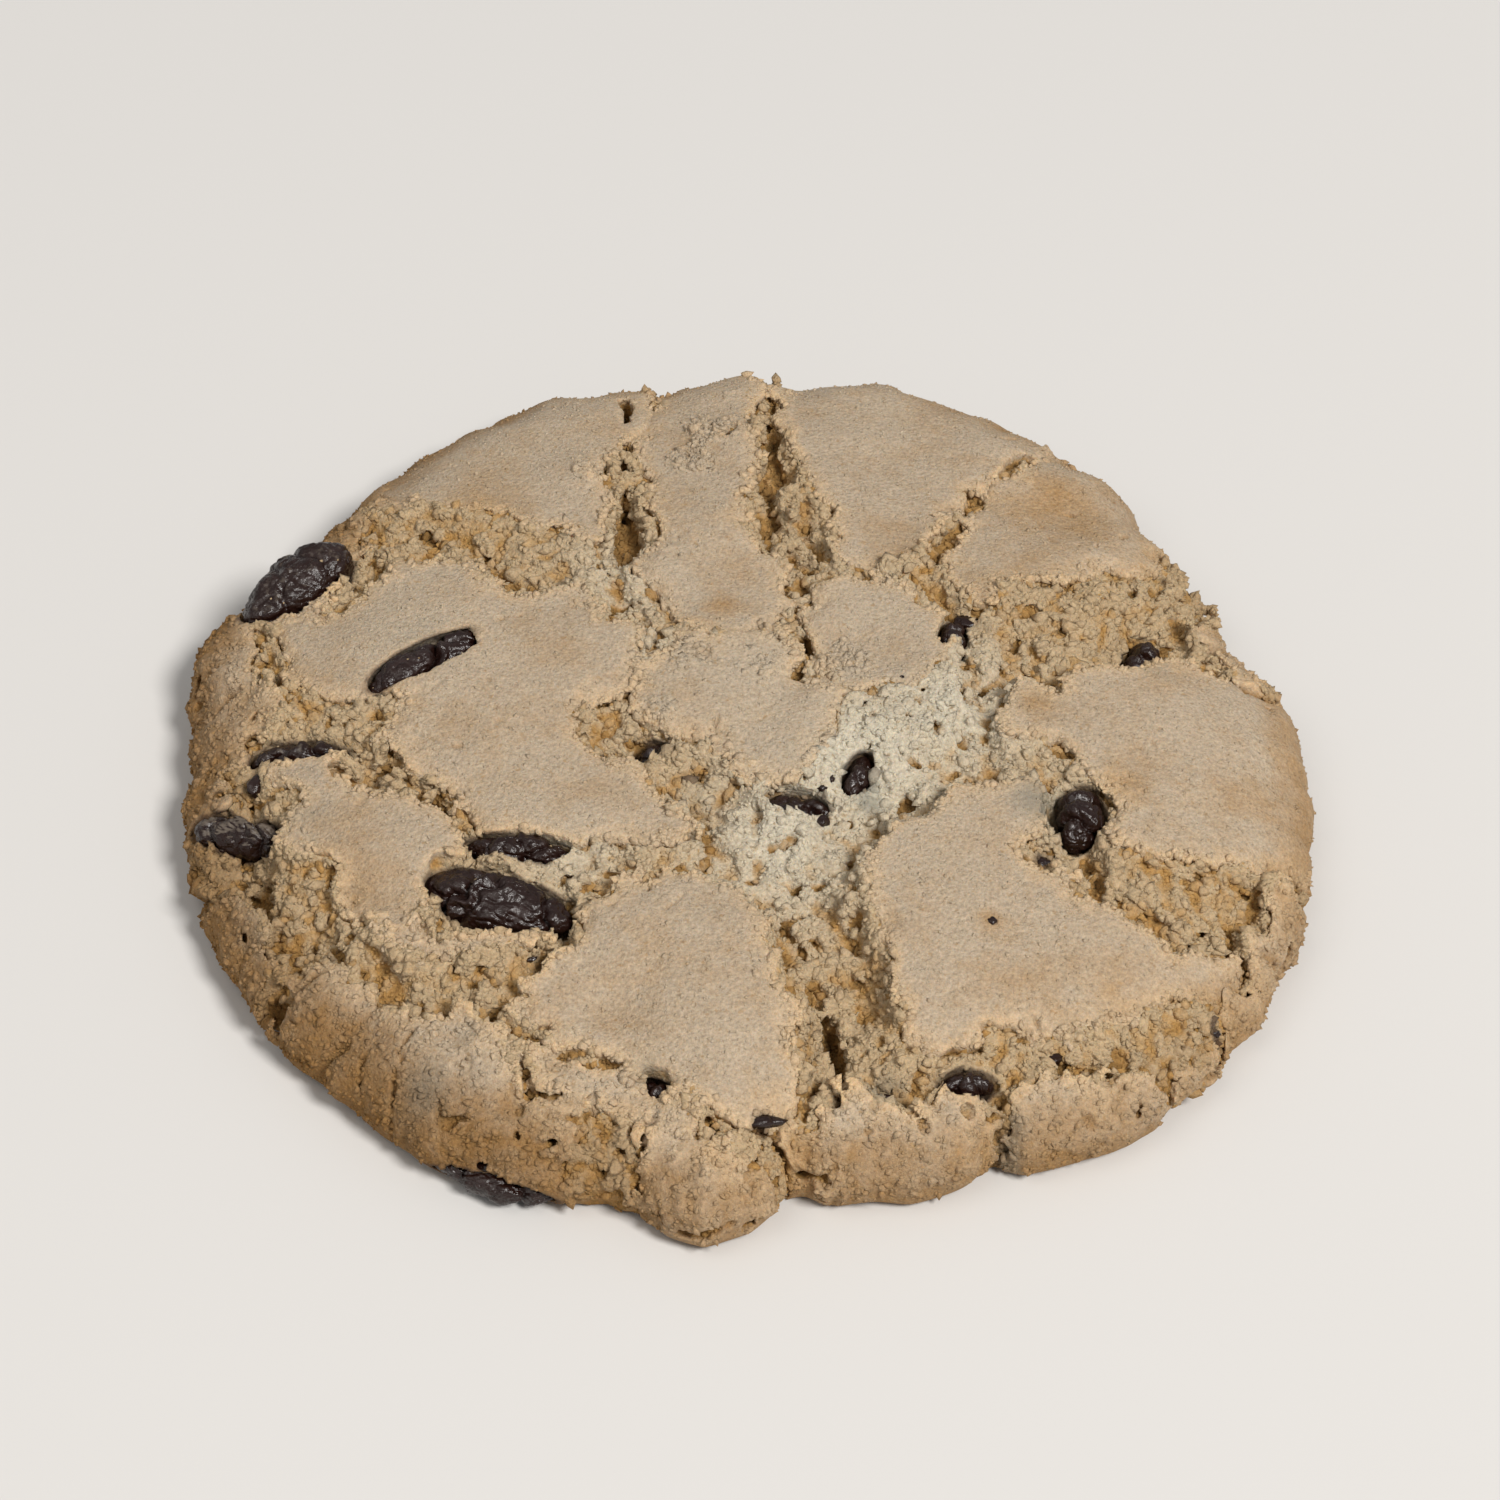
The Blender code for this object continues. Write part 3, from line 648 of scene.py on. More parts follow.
def run_since_crust(gap, step):
    """Distance along +Y back to the last crust before each cell."""
    run = np.zeros(gap.shape)
    for row in range(1, gap.shape[1]):
        run[:, row] = np.where(gap[:, row], run[:, row - 1] + step, 0.0)
    return run


def blur(values, steps):
    """Average each cell with its neighbours, a few times."""
    for _ in range(steps):
        for axis in (0, 1):
            values = (np.roll(values, 1, axis) + 2.0 * values + np.roll(values, -1, axis)) / 4.0
    return values


def cloud_field(axes, length, seed):
    """Smooth noise from about -1 to 1 on a grid, with features of the given length."""
    random = np.random.default_rng(seed)
    counts = [int((ticks[-1] - ticks[0]) / length) + 5 for ticks in axes]
    values = random.uniform(-1.0, 1.0, counts).astype(np.float32) * 1.6
    for axis, ticks in enumerate(axes):
        position = (ticks - ticks[0]) / length
        cell = position.astype(int)
        part = (position - cell).astype(np.float32)
        weights = (
            (1 - part) ** 3 / 6, (3 * part ** 3 - 6 * part ** 2 + 4) / 6,
            (-3 * part ** 3 + 3 * part ** 2 + 3 * part + 1) / 6, part ** 3 / 6,
        )
        shape = [1] * len(axes)
        shape[axis] = -1
        values = sum(
            np.take(values, cell + k, axis) * weight.reshape(shape)
            for k, weight in enumerate(weights)
        )
    return values


def wide(values):
    """A plan map as a column of the volume."""
    return values[:, :, None].astype(np.float32)


def box_mean(values, reach):
    """Mean over a box of cells around each cell."""
    for axis in range(values.ndim):
        count = values.shape[axis]
        pad = [(0, 0)] * values.ndim
        pad[axis] = (reach + 1, reach)
        total = np.cumsum(np.pad(values, pad, mode="edge"), axis=axis, dtype=np.float64)
        upper = np.take(total, np.arange(2 * reach + 1, 2 * reach + 1 + count), axis)
        lower = np.take(total, np.arange(count), axis)
        values = (upper - lower) / (2 * reach + 1)
    return values


def read_between(values, place):
    """Read a grid of values between its cells, from positions counted in cells."""
    place = np.clip(place, 0.0, np.array(values.shape) - 1.001)
    cell = place.astype(int)
    part = place - cell
    result = np.zeros(len(place))
    for corner in np.ndindex(*(2,) * values.ndim):
        share = np.prod(np.where(np.array(corner) == 1, part, 1.0 - part), axis=1)
        result += share * values[tuple((cell + corner).T)]
    return result


def spots_at(x, y, spots):
    """Strongest of a table's round spots at each place."""
    values = np.zeros(np.shape(x))
    for spot_x, spot_y, size, strength in spots:
        away = np.hypot(x - spot_x, y - spot_y) / size
        values = np.maximum(values, strength * np.exp(-away ** 2))
    return values


class Chip:
    """A chip of the frame: its centre, its axes and its half sizes, in millimetres."""

    def __init__(self, name):
        self.name = name
        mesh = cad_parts[name].data
        points = np.array([vertex.co for vertex in mesh.vertices]) / MM
        points = np.unique(points.round(4), axis=0)
        middle = points.mean(axis=0)
        _, _, axes = np.linalg.svd(points - middle, full_matrices=False)
        if abs(axes[1, 2]) > abs(axes[2, 2]):
            axes = axes[[0, 2, 1]]
        spread = (points - middle) @ axes.T
        self.half = (spread.max(axis=0) - spread.min(axis=0)) / 2.0
        self.centre = middle + (spread.max(axis=0) + spread.min(axis=0)) / 2.0 @ axes
        if axes[0, 0] < 0:
            axes[0] *= -1.0
        if axes[2, 2] < 0:
            axes[2] *= -1.0
        axes[1] = np.cross(axes[2], axes[0])
        self.axes = axes

    def local(self, points):
        """Positions along the chip's own axes, from -1 to 1 inside it."""
        return (points - self.centre) @ self.axes.T / self.half

    def distance(self, points):
        """Rough distance outside the chip."""
        return (np.linalg.norm(self.local(points), axis=-1) - 1.0) * self.half.min()

    def distance_over(self, points):
        """Rough distance outside the chip and the column above it."""
        local = self.local(points)
        local[..., 2] = np.minimum(local[..., 2], 0.0)
        return (np.linalg.norm(local, axis=-1) - 1.0) * self.half.min()


CHIPS = [Chip(name) for name in sorted(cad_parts) if name.startswith("chip_")]


class Dough:
    """The dough's surfaces as fields on a grid of cells."""

    def __init__(self, settings):
        self.cell = settings.voxel / MM
        self.crack_depth = settings.crack_depth / MM
        self.thickness = settings.crust_thickness / MM
        self.ragged = settings.ragged / MM
        self.grain = settings.grain / MM
        low, high = (np.array(corner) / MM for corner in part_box("dough"))
        margin = 4 * self.cell
        self.ticks = [
            np.arange(low[k] - margin, high[k] + margin, self.cell, dtype=np.float32)
            for k in range(3)
        ]
        plan_x = self.ticks[0] - PLAN_SHIFT[0]
        plan_y = self.ticks[1] - PLAN_SHIFT[1]
        self.x, self.y = np.meshgrid(plan_x, plan_y, indexing="ij")
        self.rim = rim_radius(self.x, self.y)
        self.radius = np.hypot(self.x, self.y)
        self.make_outlines()
        self.make_relief()
        self.make_faces()
        self.make_floor()
        self.make_volume()
        self.measure_hollows()

    def plan_cloud(self, length, seed):
        """Smooth noise over the plan."""
        return cloud_field([self.x[:, 0], self.y[0]], length, seed)

    def make_outlines(self):
        """Distances to the plates, the lobes, the grooves and the hairlines."""
        wander = self.ragged * sum(
            share * self.plan_cloud(length, seed) for share, length, seed in RAGGED_LAYERS
        )
        self.plates = np.full(self.x.shape, np.inf)
        self.tilt = np.zeros(self.x.shape)
        for name, outline in PLATES.items():
            away = outline_distance(self.x, self.y, outline)
            middle_x, middle_y = np.mean(outline, axis=0)
            lift, rise_right, rise_back = PLATE_TILTS[name]
            own = lift + rise_right * (self.x - middle_x) + rise_back * (self.y - middle_y)
            self.tilt = np.where(away < self.plates, own, self.tilt)
            self.plates = np.minimum(self.plates, away)
        self.plates += wander
        self.lobes = wander + np.min(
            [outline_distance(self.x, self.y, outline) for outline in LOBES.values()], axis=0
        )
        self.edge = np.minimum(self.plates, self.lobes)
        self.groove = np.full(self.x.shape, -FAR)
        self.groove_floor = np.zeros(self.x.shape)
        for start, end, wide, deep in GROOVES.values():
            inside = wide / 2.0 - line_distance(self.x, self.y, start, end) + 0.8 * wander
            self.groove = np.maximum(self.groove, inside)
            near = smooth_step(-0.9, 0.3, inside)
            self.groove_floor = np.maximum(self.groove_floor, deep * near)
        self.hair = np.full(self.x.shape, FAR)
        for points in HAIRLINES:
            for start, end in zip(points, points[1:]):
                away = line_distance(self.x, self.y, start, end) + 0.6 * np.abs(wander)
                self.hair = np.minimum(self.hair, away)
        self.cluster = np.zeros(self.x.shape)
        for place_x, place_y, size in CLUSTERS:
            away = np.hypot(self.x - place_x, self.y - place_y) + 1.2 * wander
            self.cluster = np.maximum(self.cluster, smooth_step(size, size * 0.4, away))

    def make_relief(self):
        """Height of the bumps and hollows over the plan."""
        self.lift = np.zeros(self.x.shape)
        for place_x, place_y, size, height in RELIEF:
            away = np.hypot(self.x - place_x, self.y - place_y) / size
            self.lift += height * np.exp(-away ** 2)

    def make_floor(self):
        """Depth of the crumb in the cracks, which slopes down to the front."""
        gap = self.edge > 0.0
        from_back = run_since_crust(gap[:, ::-1], self.cell)[:, ::-1]
        from_front = run_since_crust(gap, self.cell)
        width = np.clip(from_back + from_front, self.cell, None)
        deepest = np.minimum(self.crack_depth, NARROW_DEPTH + DEPTH_PER_WIDTH * width)
        share = np.clip(from_back / np.minimum(width, WIDEST_SLOPE), 0.0, 1.0)
        floor = blur(CLIFF_DEPTH + (deepest - CLIFF_DEPTH) * share, 8)
        floor *= 1.0 - 0.55 * smooth_step(0.84, 1.0, self.radius / self.rim)
        floor += 0.75 * self.plan_cloud(3.8, 13)
        wall = 0.5 + 1.3 * np.abs(self.plan_cloud(5.0, 18))
        floor = (floor - self.lift) * smooth_step(-0.2, wall, self.edge)
        beside = np.where(self.plates < self.lobes, self.dent, self.lobe_dent)
        beside = blur(beside, 4) + BODY_STEP
        apart = smooth_step(3.0, 0.6, self.edge)
        self.floor = np.maximum(floor, 0.3 + (beside - 0.3) * apart)

    def make_faces(self):
        """Depth of the crust's faces below the profile, and how rough each place is."""
        inner = -np.minimum(self.plates, 0.0)
        dent = PLATE_DEPTH - self.tilt - self.lift + 0.36 * self.plan_cloud(9.0, 15)
        dent += 0.24 * self.plan_cloud(4.2, 16) + 0.12 * self.plan_cloud(2.0, 27)
        dent += (0.15 + 0.55 * self.plan_cloud(3.0, 36)) * np.exp(-(inner / 1.3) ** 2)
        dent -= 0.30 * self.cluster
        outer = smooth_step(0.86, 0.98, self.radius / self.rim)
        dent += outer * (0.35 + 0.75 * self.plan_cloud(4.0, 37) + 0.4 * self.plan_cloud(1.7, 38))
        dent += 0.60 * smooth_step(0.30, 0.05, self.hair)
        short = smooth_step(0.15, 0.35, self.plan_cloud(6.0, 33))
        thin = np.abs(self.plan_cloud(3.6, 34)) + 0.3 * np.abs(self.plan_cloud(1.0, 35))
        dent += 0.30 * short * smooth_step(0.10, 0.02, thin)
        self.dent = np.clip(dent, 0.06, None)
        lumpy = LOBE_DEPTH - self.lift + 0.60 * self.plan_cloud(5.0, 19)
        lumpy += 0.42 * self.plan_cloud(2.3, 20)
        lumpy += 0.8 * smooth_step(0.45, 0.05, self.hair)
        veins = np.abs(self.plan_cloud(5.5, 31)) + 0.35 * np.abs(self.plan_cloud(1.5, 32))
        lumpy += 0.8 * smooth_step(0.16, 0.03, veins) + 0.4 * outer * self.plan_cloud(3.0, 39)
        self.lobe_dent = np.clip(lumpy, 0.08, None)

        fray = 0.5 + 1.6 * np.clip(self.plan_cloud(3.4, 25) + 0.25, 0.0, 1.0)
        border = np.maximum(self.plates, self.groove)
        fringe = smooth_step(-fray, 0.1, border)
        self.plate_weight = 0.05 + 0.60 * fringe + 0.55 * self.cluster * (1.0 - fringe)
        lobe_fringe = smooth_step(-1.6 * fray, 0.1, np.maximum(self.lobes, self.groove))
        self.lobe_weight = 0.32 + 0.45 * np.clip(self.plan_cloud(4.0, 26) + 0.3, 0.0, 1.0)
        self.lobe_weight += 0.45 * lobe_fringe
        soft = np.clip(spots_at(self.x, self.y, PALE_SPOTS), 0.0, 1.0)
        self.crumb_weight = (1.0 - 0.40 * soft) * (0.15 + 0.85 * smooth_step(-0.8, 0.0, self.edge))

    def skin(self, x, y, z, rim=None):
        """Distance outside the smooth profile, negative inside, without the flat base."""
        rim = rim_radius(x, y) if rim is None else rim
        radius = np.hypot(x, y)
        share = np.clip(radius / rim, 1e-4, None)
        tall = COOKIE_HEIGHT - RIM_HEIGHT
        rise = (z - RIM_HEIGHT) / tall
        top = RIM_HEIGHT + tall * np.sqrt(np.clip(1.0 - share ** PROFILE_POWER, 0.0, 1.0))
        upper_edge = rim * np.clip(1.0 - np.clip(rise, 0.0, 1.0) ** 2, 0.0, 1.0) ** 0.25
        under = np.clip((RIM_HEIGHT - z) / RIM_HEIGHT, 0.0, 1.0)
        lower_edge = rim * (BASE_SHARE + (1.0 - BASE_SHARE) * np.sqrt(1.0 - under ** 2))
        edge = np.where(z > RIM_HEIGHT, upper_edge, lower_edge)
        down = np.clip(top - z, 1e-3, None)
        inward = np.clip(edge - radius, 1e-3, None)
        inside = -down * inward / np.hypot(down, inward)
        bulge = share ** PROFILE_POWER + rise ** 2 - 1.0
        slope = np.hypot(PROFILE_POWER * share ** (PROFILE_POWER - 1.0) / rim, 2.0 * rise / tall)
        above = np.where(z > RIM_HEIGHT, bulge / np.clip(slope, 0.02, None), radius - edge)
        return np.where((top > z) & (edge > radius), inside, np.clip(above, 0.0, PROFILE_LIMIT))

    def make_volume(self):
        """Signed distances of the crumb body, of the crust plates and of the rim's crust."""
        z = self.ticks[2][None, None, :]
        skin = self.skin(wide(self.x), wide(self.y), z, wide(self.rim)).astype(np.float32)
        depth = -skin
        coarse = cloud_field(self.ticks, 2.7, 21)
        medium = cloud_field(self.ticks, 1.3, 22)
        fine = cloud_field(self.ticks, 0.65, 23)
        self.skin_values = skin
        self.rough = self.ragged * (0.9 * medium + 0.9 * fine)
        self.lumps = self.grain * (
            1.7 * np.abs(coarse) + 0.95 * np.abs(medium) + 0.6 * np.abs(fine) - 0.8
        )
        self.pores = 1.1 * (cloud_field(self.ticks, 0.9, 24) + 0.5 * fine - 0.50)
        del coarse, medium, fine
        self.high = smooth_step(0.4, 2.5, z)
        self.groove_field = np.minimum(
            wide(self.groove) + self.rough, wide(self.groove_floor) - depth
        )

        on_plate = smooth_step(0.2, -0.6, self.plates)
        on_lobe = smooth_step(0.2, -0.6, self.lobes) * (1.0 - on_plate)
        nearby = smooth_step(0.6, 0.0, self.edge)
        cover = nearby * (np.where(self.plates < self.lobes, self.dent, self.lobe_dent) + BODY_STEP)
        cover += on_plate * 0.75 * self.thickness + on_lobe * 0.75 * LOBE_THICKNESS
        crack = np.minimum(
            wide(self.edge) + self.rough + 0.1, wide(self.floor) + self.rough - depth
        )
        self.body = self.finish_field(
            np.maximum(skin + wide(cover), crack), self.crumb_weight, BODY_RISE
        )
        self.crust = self.crust_field(depth, self.plates, self.dent, self.thickness)
        self.crust = self.finish_field(self.crust, self.plate_weight, 0.0)
        self.rim_crust = self.crust_field(depth, self.lobes, self.lobe_dent, LOBE_THICKNESS)
        self.rim_crust = self.finish_field(self.rim_crust, self.lobe_weight, 0.0)
        del self.pores, self.groove_field, self.lumps

    def crust_field(self, depth, outline, dent, thickness):
        """A layer of crust inside an outline, drawn in a little underneath."""
        under = 0.2 * np.clip(depth / thickness, 0.0, 1.0) ** 2
        field = np.maximum(wide(dent) - depth, wide(outline) + self.rough + under)
        return np.maximum(field, depth - wide(dent + thickness))

    def finish_field(self, field, weight, base_rise):
        """Cut the grooves, the lumps, the pores, the chips' sockets and the flat base."""
        weight = wide(weight) * self.high
        field = np.maximum(field, self.groove_field)
        field -= weight * self.lumps
        holes = np.minimum(self.pores, field + PORE_DEPTH)
        field = np.where(weight > POROUS_WEIGHT, np.maximum(field, holes), field)
        field = np.maximum(field, self.skin_values + SKIN_GAP)
        inner = smooth_step(-1.5, -5.0, self.radius - self.rim)
        low = np.abs(self.plan_cloud(1.4, 24))
        base = 0.02 + base_rise + BASE_EDGE * (0.5 + low) * (1.0 - inner)
        field = np.maximum(field, wide(base) - self.ticks[2][None, None, :])
        self.carve_chips(field)
        return field

    def carve_chips(self, field):
        """Open the dough where the chips sit and above them, with a broken edge."""
        for chip in CHIPS:
            reach = chip.half.max() + CARVE_REACH
            spans = [
                slice(*np.searchsorted(ticks, (chip.centre[k] - reach, chip.centre[k] + reach)))
                for k, ticks in enumerate(self.ticks)
            ]
            grid = np.meshgrid(*(t[s] for t, s in zip(self.ticks, spans)), indexing="ij")
            points = np.stack(grid, axis=-1)
            rough = self.rough[tuple(spans)]
            around = chip.distance(points)
            over = chip.distance_over(points) + CHIP_COVER.get(chip.name, USUAL_COVER) + 0.9 * rough
            opening = np.minimum(around, over).astype(np.float32)
            field[tuple(spans)] = np.maximum(field[tuple(spans)], -opening)

    def measure_hollows(self):
        """Share of solid near each place and further around it: over a half in hollows."""
        solid = np.minimum(np.minimum(self.body, self.crust), self.rim_crust) < 0.0
        solid |= self.ticks[2][None, None, :] < 0.0
        counts = [count // 2 for count in solid.shape]
        solid = solid[: counts[0] * 2, : counts[1] * 2, : counts[2] * 2].astype(np.float32)
        shape = (counts[0], 2, counts[1], 2, counts[2], 2)
        solid = solid.reshape(shape).mean(axis=(1, 3, 5))
        self.near = box_mean(box_mean(solid, 1), 1)
        self.around = box_mean(box_mean(solid, 4), 4)
        del self.rough, self.skin_values

    def sample(self, values, points):
        """Read a plan map at points of the frame."""
        place = (points[:, :2] - [self.ticks[0][0], self.ticks[1][0]]) / self.cell
        return read_between(values, place)

    def sample_hollows(self, values, points):
        """Read one of the coarser maps of hollows at points of the frame."""
        start = np.array([ticks[0] for ticks in self.ticks]) + self.cell / 2.0
        return read_between(values, (points - start) / (2.0 * self.cell))


# Meshes


def mesh_from_polygons(name, points, faces):
    """A mesh from rows of points and rows of corner indices."""
    mesh = bpy.data.meshes.new(name)
    corners = faces.shape[1]
    mesh.vertices.add(len(points))
    mesh.vertices.foreach_set("co", np.ascontiguousarray(points, dtype=np.float32).ravel())
    mesh.loops.add(faces.size)
    mesh.loops.foreach_set("vertex_index", np.ascontiguousarray(faces, dtype=np.int32).ravel())
    mesh.polygons.add(len(faces))
    mesh.polygons.foreach_set("loop_start", np.arange(len(faces), dtype=np.int32) * corners)
    mesh.update(calc_edges=True)
    mesh.validate()
    return mesh


def mesh_from_shape(name, shape):
    """A mesh from an edited shape, which is freed."""
    mesh = bpy.data.meshes.new(name)
    shape.to_mesh(mesh)
    shape.free()
    return mesh


def read_points(mesh):
    """The mesh's vertex positions as rows."""
    points = np.empty(len(mesh.vertices) * 3)
    mesh.vertices.foreach_get("co", points)
    return points.reshape(-1, 3)


def read_normals(mesh):
    """The mesh's vertex normals as rows."""
    normals = np.empty(len(mesh.vertices) * 3)
    mesh.vertex_normals.foreach_get("vector", normals)
    return normals.reshape(-1, 3)


def write_points(mesh, points):
    """Move the mesh's vertices."""
    mesh.vertices.foreach_set("co", np.ascontiguousarray(points, dtype=np.float32).ravel())
    mesh.update()


def store(mesh, name, values):
    """Keep a number on each vertex."""
    layer = mesh.attributes.new(name, "FLOAT", "POINT")
    layer.data.foreach_set("value", np.ascontiguousarray(values, dtype=np.float32))


def link(name, mesh):
    """Link a mesh to the scene as an object at the origin."""
    item = bpy.data.objects.new(name, mesh)
    bpy.context.scene.collection.objects.link(item)
    return item


def freeze(item, mesh_name):
    """Turn an object's modifiers into a plain mesh and remove the object."""
    graph = bpy.context.evaluated_depsgraph_get()
    mesh = bpy.data.meshes.new_from_object(item.evaluated_get(graph))
    mesh.name = mesh_name
    old = item.data
    bpy.data.objects.remove(item, do_unlink=True)
    bpy.data.meshes.remove(old)
    return mesh


def surface_mesh(name, field, dough, triangles):
    """Mesh the zero surface of a field, thinned to a number of triangles."""
    grid = openvdb.FloatGrid(MESH_BACKGROUND)
    grid.copyFromArray(np.ascontiguousarray(field, dtype=np.float32))
    points, _, quads = grid.convertToPolygons(isovalue=0.0, adaptivity=0.0)
    origin = np.array([ticks[0] for ticks in dough.ticks])
    mesh = mesh_from_polygons(name, (points * dough.cell + origin) * MM, quads[:, ::-1])
    item = link(name, mesh)
    thin = item.modifiers.new("thin", "DECIMATE")
    thin.ratio = min(1.0, triangles / (2.0 * len(quads)))
    result = without_scraps(freeze(item, name))
    result.shade_smooth()
    return result


def read_triangles(mesh):
    """The mesh's triangles as rows of vertex numbers."""
    mesh.calc_loop_triangles()
    faces = np.empty(len(mesh.loop_triangles) * 3, dtype=np.int32)
    mesh.loop_triangles.foreach_get("vertices", faces)
    return faces.reshape(-1, 3)


def without_scraps(mesh):
    """The mesh without its loose scraps and its sealed bubbles."""
    points = read_points(mesh) / MM
    faces = read_triangles(mesh)
    label = np.arange(len(points))
    while True:
        lowest = label[faces].min(axis=1)
        closer = label.copy()
        for corner in range(3):
            np.minimum.at(closer, faces[:, corner], lowest)
        closer = closer[closer]
        if np.array_equal(closer, label):
            break
        label = closer
    first, second, third = (points[faces[:, corner]] for corner in range(3))
    volume = np.einsum("ij,ij->i", first, np.cross(second, third)) / 6.0
    total = np.bincount(label[faces[:, 0]], volume, len(points))
    keep = np.abs(total[label[faces[:, 0]]]) > SCRAP_VOLUME
    faces = faces[keep]
    used = np.unique(faces)
    number = np.zeros(len(points), dtype=np.int32)
    number[used] = np.arange(len(used))
    return mesh_from_polygons(mesh.name + "_whole", points[used] * MM, number[faces])


def volume_of(mesh):
    """The volume inside a mesh, negative when its faces point inwards."""
    shape = bmesh.new()
    shape.from_mesh(mesh)
    volume = shape.calc_volume(signed=True)
    shape.free()
    return volume


def finish_piece(item, material, nodes):
    """Give a piece its material and tie it to the frame."""
    item.data.materials.clear()
    item.data.materials.append(material)
    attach(item, "root")
    if nodes:
        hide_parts(*nodes)


def paint_dough(mesh, dough, name):
    """Store where the surface is crust, hollow, browned, pale or stained, with the hollow and
    crease measures that the material turns into painted shade and highlight.
    """
    points = read_points(mesh) / MM
    x = points[:, 0] - PLAN_SHIFT[0]
    y = points[:, 1] - PLAN_SHIFT[1]
    z = points[:, 2]
    depth = -dough.skin(x, y, z)
    edge = dough.sample(dough.edge, points)
    if name == "crumb_body":
        face = np.zeros(len(points))
    else:
        dent = dough.dent if name == "crust_plates" else dough.lobe_dent
        face = 1.0 - smooth_step(0.35, 0.85, depth - dough.sample(dent, points))
    radius = np.hypot(x, y)
    # The flank is browned near the floor and at the outer rim; its extra strength on the left side,
    # away from the window light, is painted shade
    left = smooth_step(0.0, -25.0, x)
    share = radius / rim_radius(x, y)
    flank = smooth_step(0.87 - 0.07 * left, 1.0, share)
    flank *= smooth_step(10.0 + 1.5 * left, 5.5 + 1.5 * left, z)
    flank = np.clip(0.8 * flank + 0.7 * smooth_step(4.5, 0.5, z), 0.0, 1.0)
    # Painted shade: the flank darkening is stronger on the left side
    flank *= 0.40 + 0.60 * left
    near_chip = np.min([chip.distance(points) for chip in CHIPS], axis=0)
    near = dough.sample_hollows(dough.near, points)
    around = dough.sample_hollows(dough.around, points)
    outside = smooth_step(-0.5, -0.1, read_normals(mesh)[:, 2]) * smooth_step(0.6, 1.6, z)
    outside *= smooth_step(0.0, 0.5, near_chip)
    broken = smooth_step(-0.7, -0.1, edge) * outside
    pale = spots_at(x, y, PALE_SPOTS)
    browned = np.maximum(spots_at(x, y, BROWN_SPOTS), 0.5 * smooth_step(0.86, 0.98, share))
    granular = broken * (1.0 - 0.6 * np.clip(pale, 0.0, 1.0))
    smeared = np.maximum(0.7 * smooth_step(0.6, 0.0, near_chip), spots_at(x, y, STAINS))
    values = {
        # The hollow and crease measures count solid nearby; the material paints shade where they
        # are high and highlight on convex places where the crease measure is negative
        "crust": face, "flank": flank, "hollow": (around - 0.5) / 0.25,
        "crease": (near - 0.5) / 0.25, "browned": browned, "pale": pale,
        "tint": spots_at(x, y, TINTS), "smear": smeared, "border": smooth_step(-2.6, -0.3, edge),
    }
    nothing = np.zeros(len(points))
    values.update(loose=nothing, granular=nothing, edged=nothing, rimmed=nothing, sanded=nothing)
    if name == "crumb_body":
        values.update(loose=broken, granular=granular)
    elif name == "crust_plates":
        band = smooth_step(-1.2, 0.0, dough.sample(dough.plates, points))
        band = np.maximum(band, 1.5 * dough.sample(dough.cluster, points))
        values.update(edged=band * outside, sanded=(1.0 - 0.7 * band) * face * outside)
    else:
        values.update(loose=0.3 * broken, rimmed=outside)
    for kind, numbers in values.items():
        store(mesh, kind, numbers)


# Places of colour on the dough: place, size and strength
BROWN_SPOTS = (
    (27.4, 31.0, 3.5, 0.8), (29.0, 26.0, 4.0, 0.5), (15.5, 20.0, 2.6, 0.8), (-2.2, 13.0, 1.4, 0.9),
    (40.0, 20.0, 6.0, 0.7), (-41.0, 2.0, 6.0, 0.5), (37.0, -30.0, 3.0, 0.8),
    (26.0, -30.0, 5.0, 0.3), (36.0, -20.0, 6.0, 0.5), (-34.0, -16.0, 5.0, 0.4),
    (24.0, 0.5, 2.4, 0.7), (40.0, -8.0, 4.0, 0.4), (30.5, -8.5, 2.4, 0.7), (-37.8, -24.0, 3.0, 0.6),
    (-38.2, -29.0, 2.2, 0.9), (4.0, -44.0, 2.4, 0.9), (20.0, -40.0, 2.2, 0.8),
    (44.0, 20.0, 4.0, 0.8),
    (19.3, -24.1, 1.1, 1.0), (22.0, 13.0, 8.0, 0.5), (-24.0, 26.5, 4.0, 0.6),
    (-33.0, 27.0, 4.0, 0.7),
)
PALE_SPOTS = (
    (9.0, -5.0, 10.0, 1.0), (0.0, 3.0, 8.0, 0.6), (16.0, 0.0, 8.0, 0.9), (3.0, -14.0, 8.0, 0.9),
    (-28.0, 9.0, 6.0, 0.6), (-14.0, -15.0, 5.0, 0.6), (24.0, -10.0, 5.0, 0.4),
    (9.0, 11.0, 7.0, 0.4), (-10.0, 17.0, 6.0, 0.5), (-24.0, -37.0, 4.0, 0.3),
    (18.0, 6.0, 5.0, 0.6), (-8.0, 7.5, 3.0, 0.6),
)
TINTS = (
    (23.8, -10.8, 3.0, 0.8), (-25.3, -38.4, 2.6, 0.7), (9.9, -9.0, 1.4, 0.9),
    (10.2, -7.2, 0.8, 0.9),
    (17.6, -38.6, 1.8, 0.9), (10.7, -39.2, 1.8, 0.8), (20.6, -41.0, 1.5, 0.7),
    (-27.0, 8.0, 4.0, 0.5),
    (31.6, -34.6, 1.4, 0.4), (-7.8, -38.8, 1.5, 0.7), (-36.5, -10.5, 3.0, 0.5),
    (-4.0, -9.0, 3.0, 0.4),
    (12.7, 3.6, 1.8, 0.4),
)
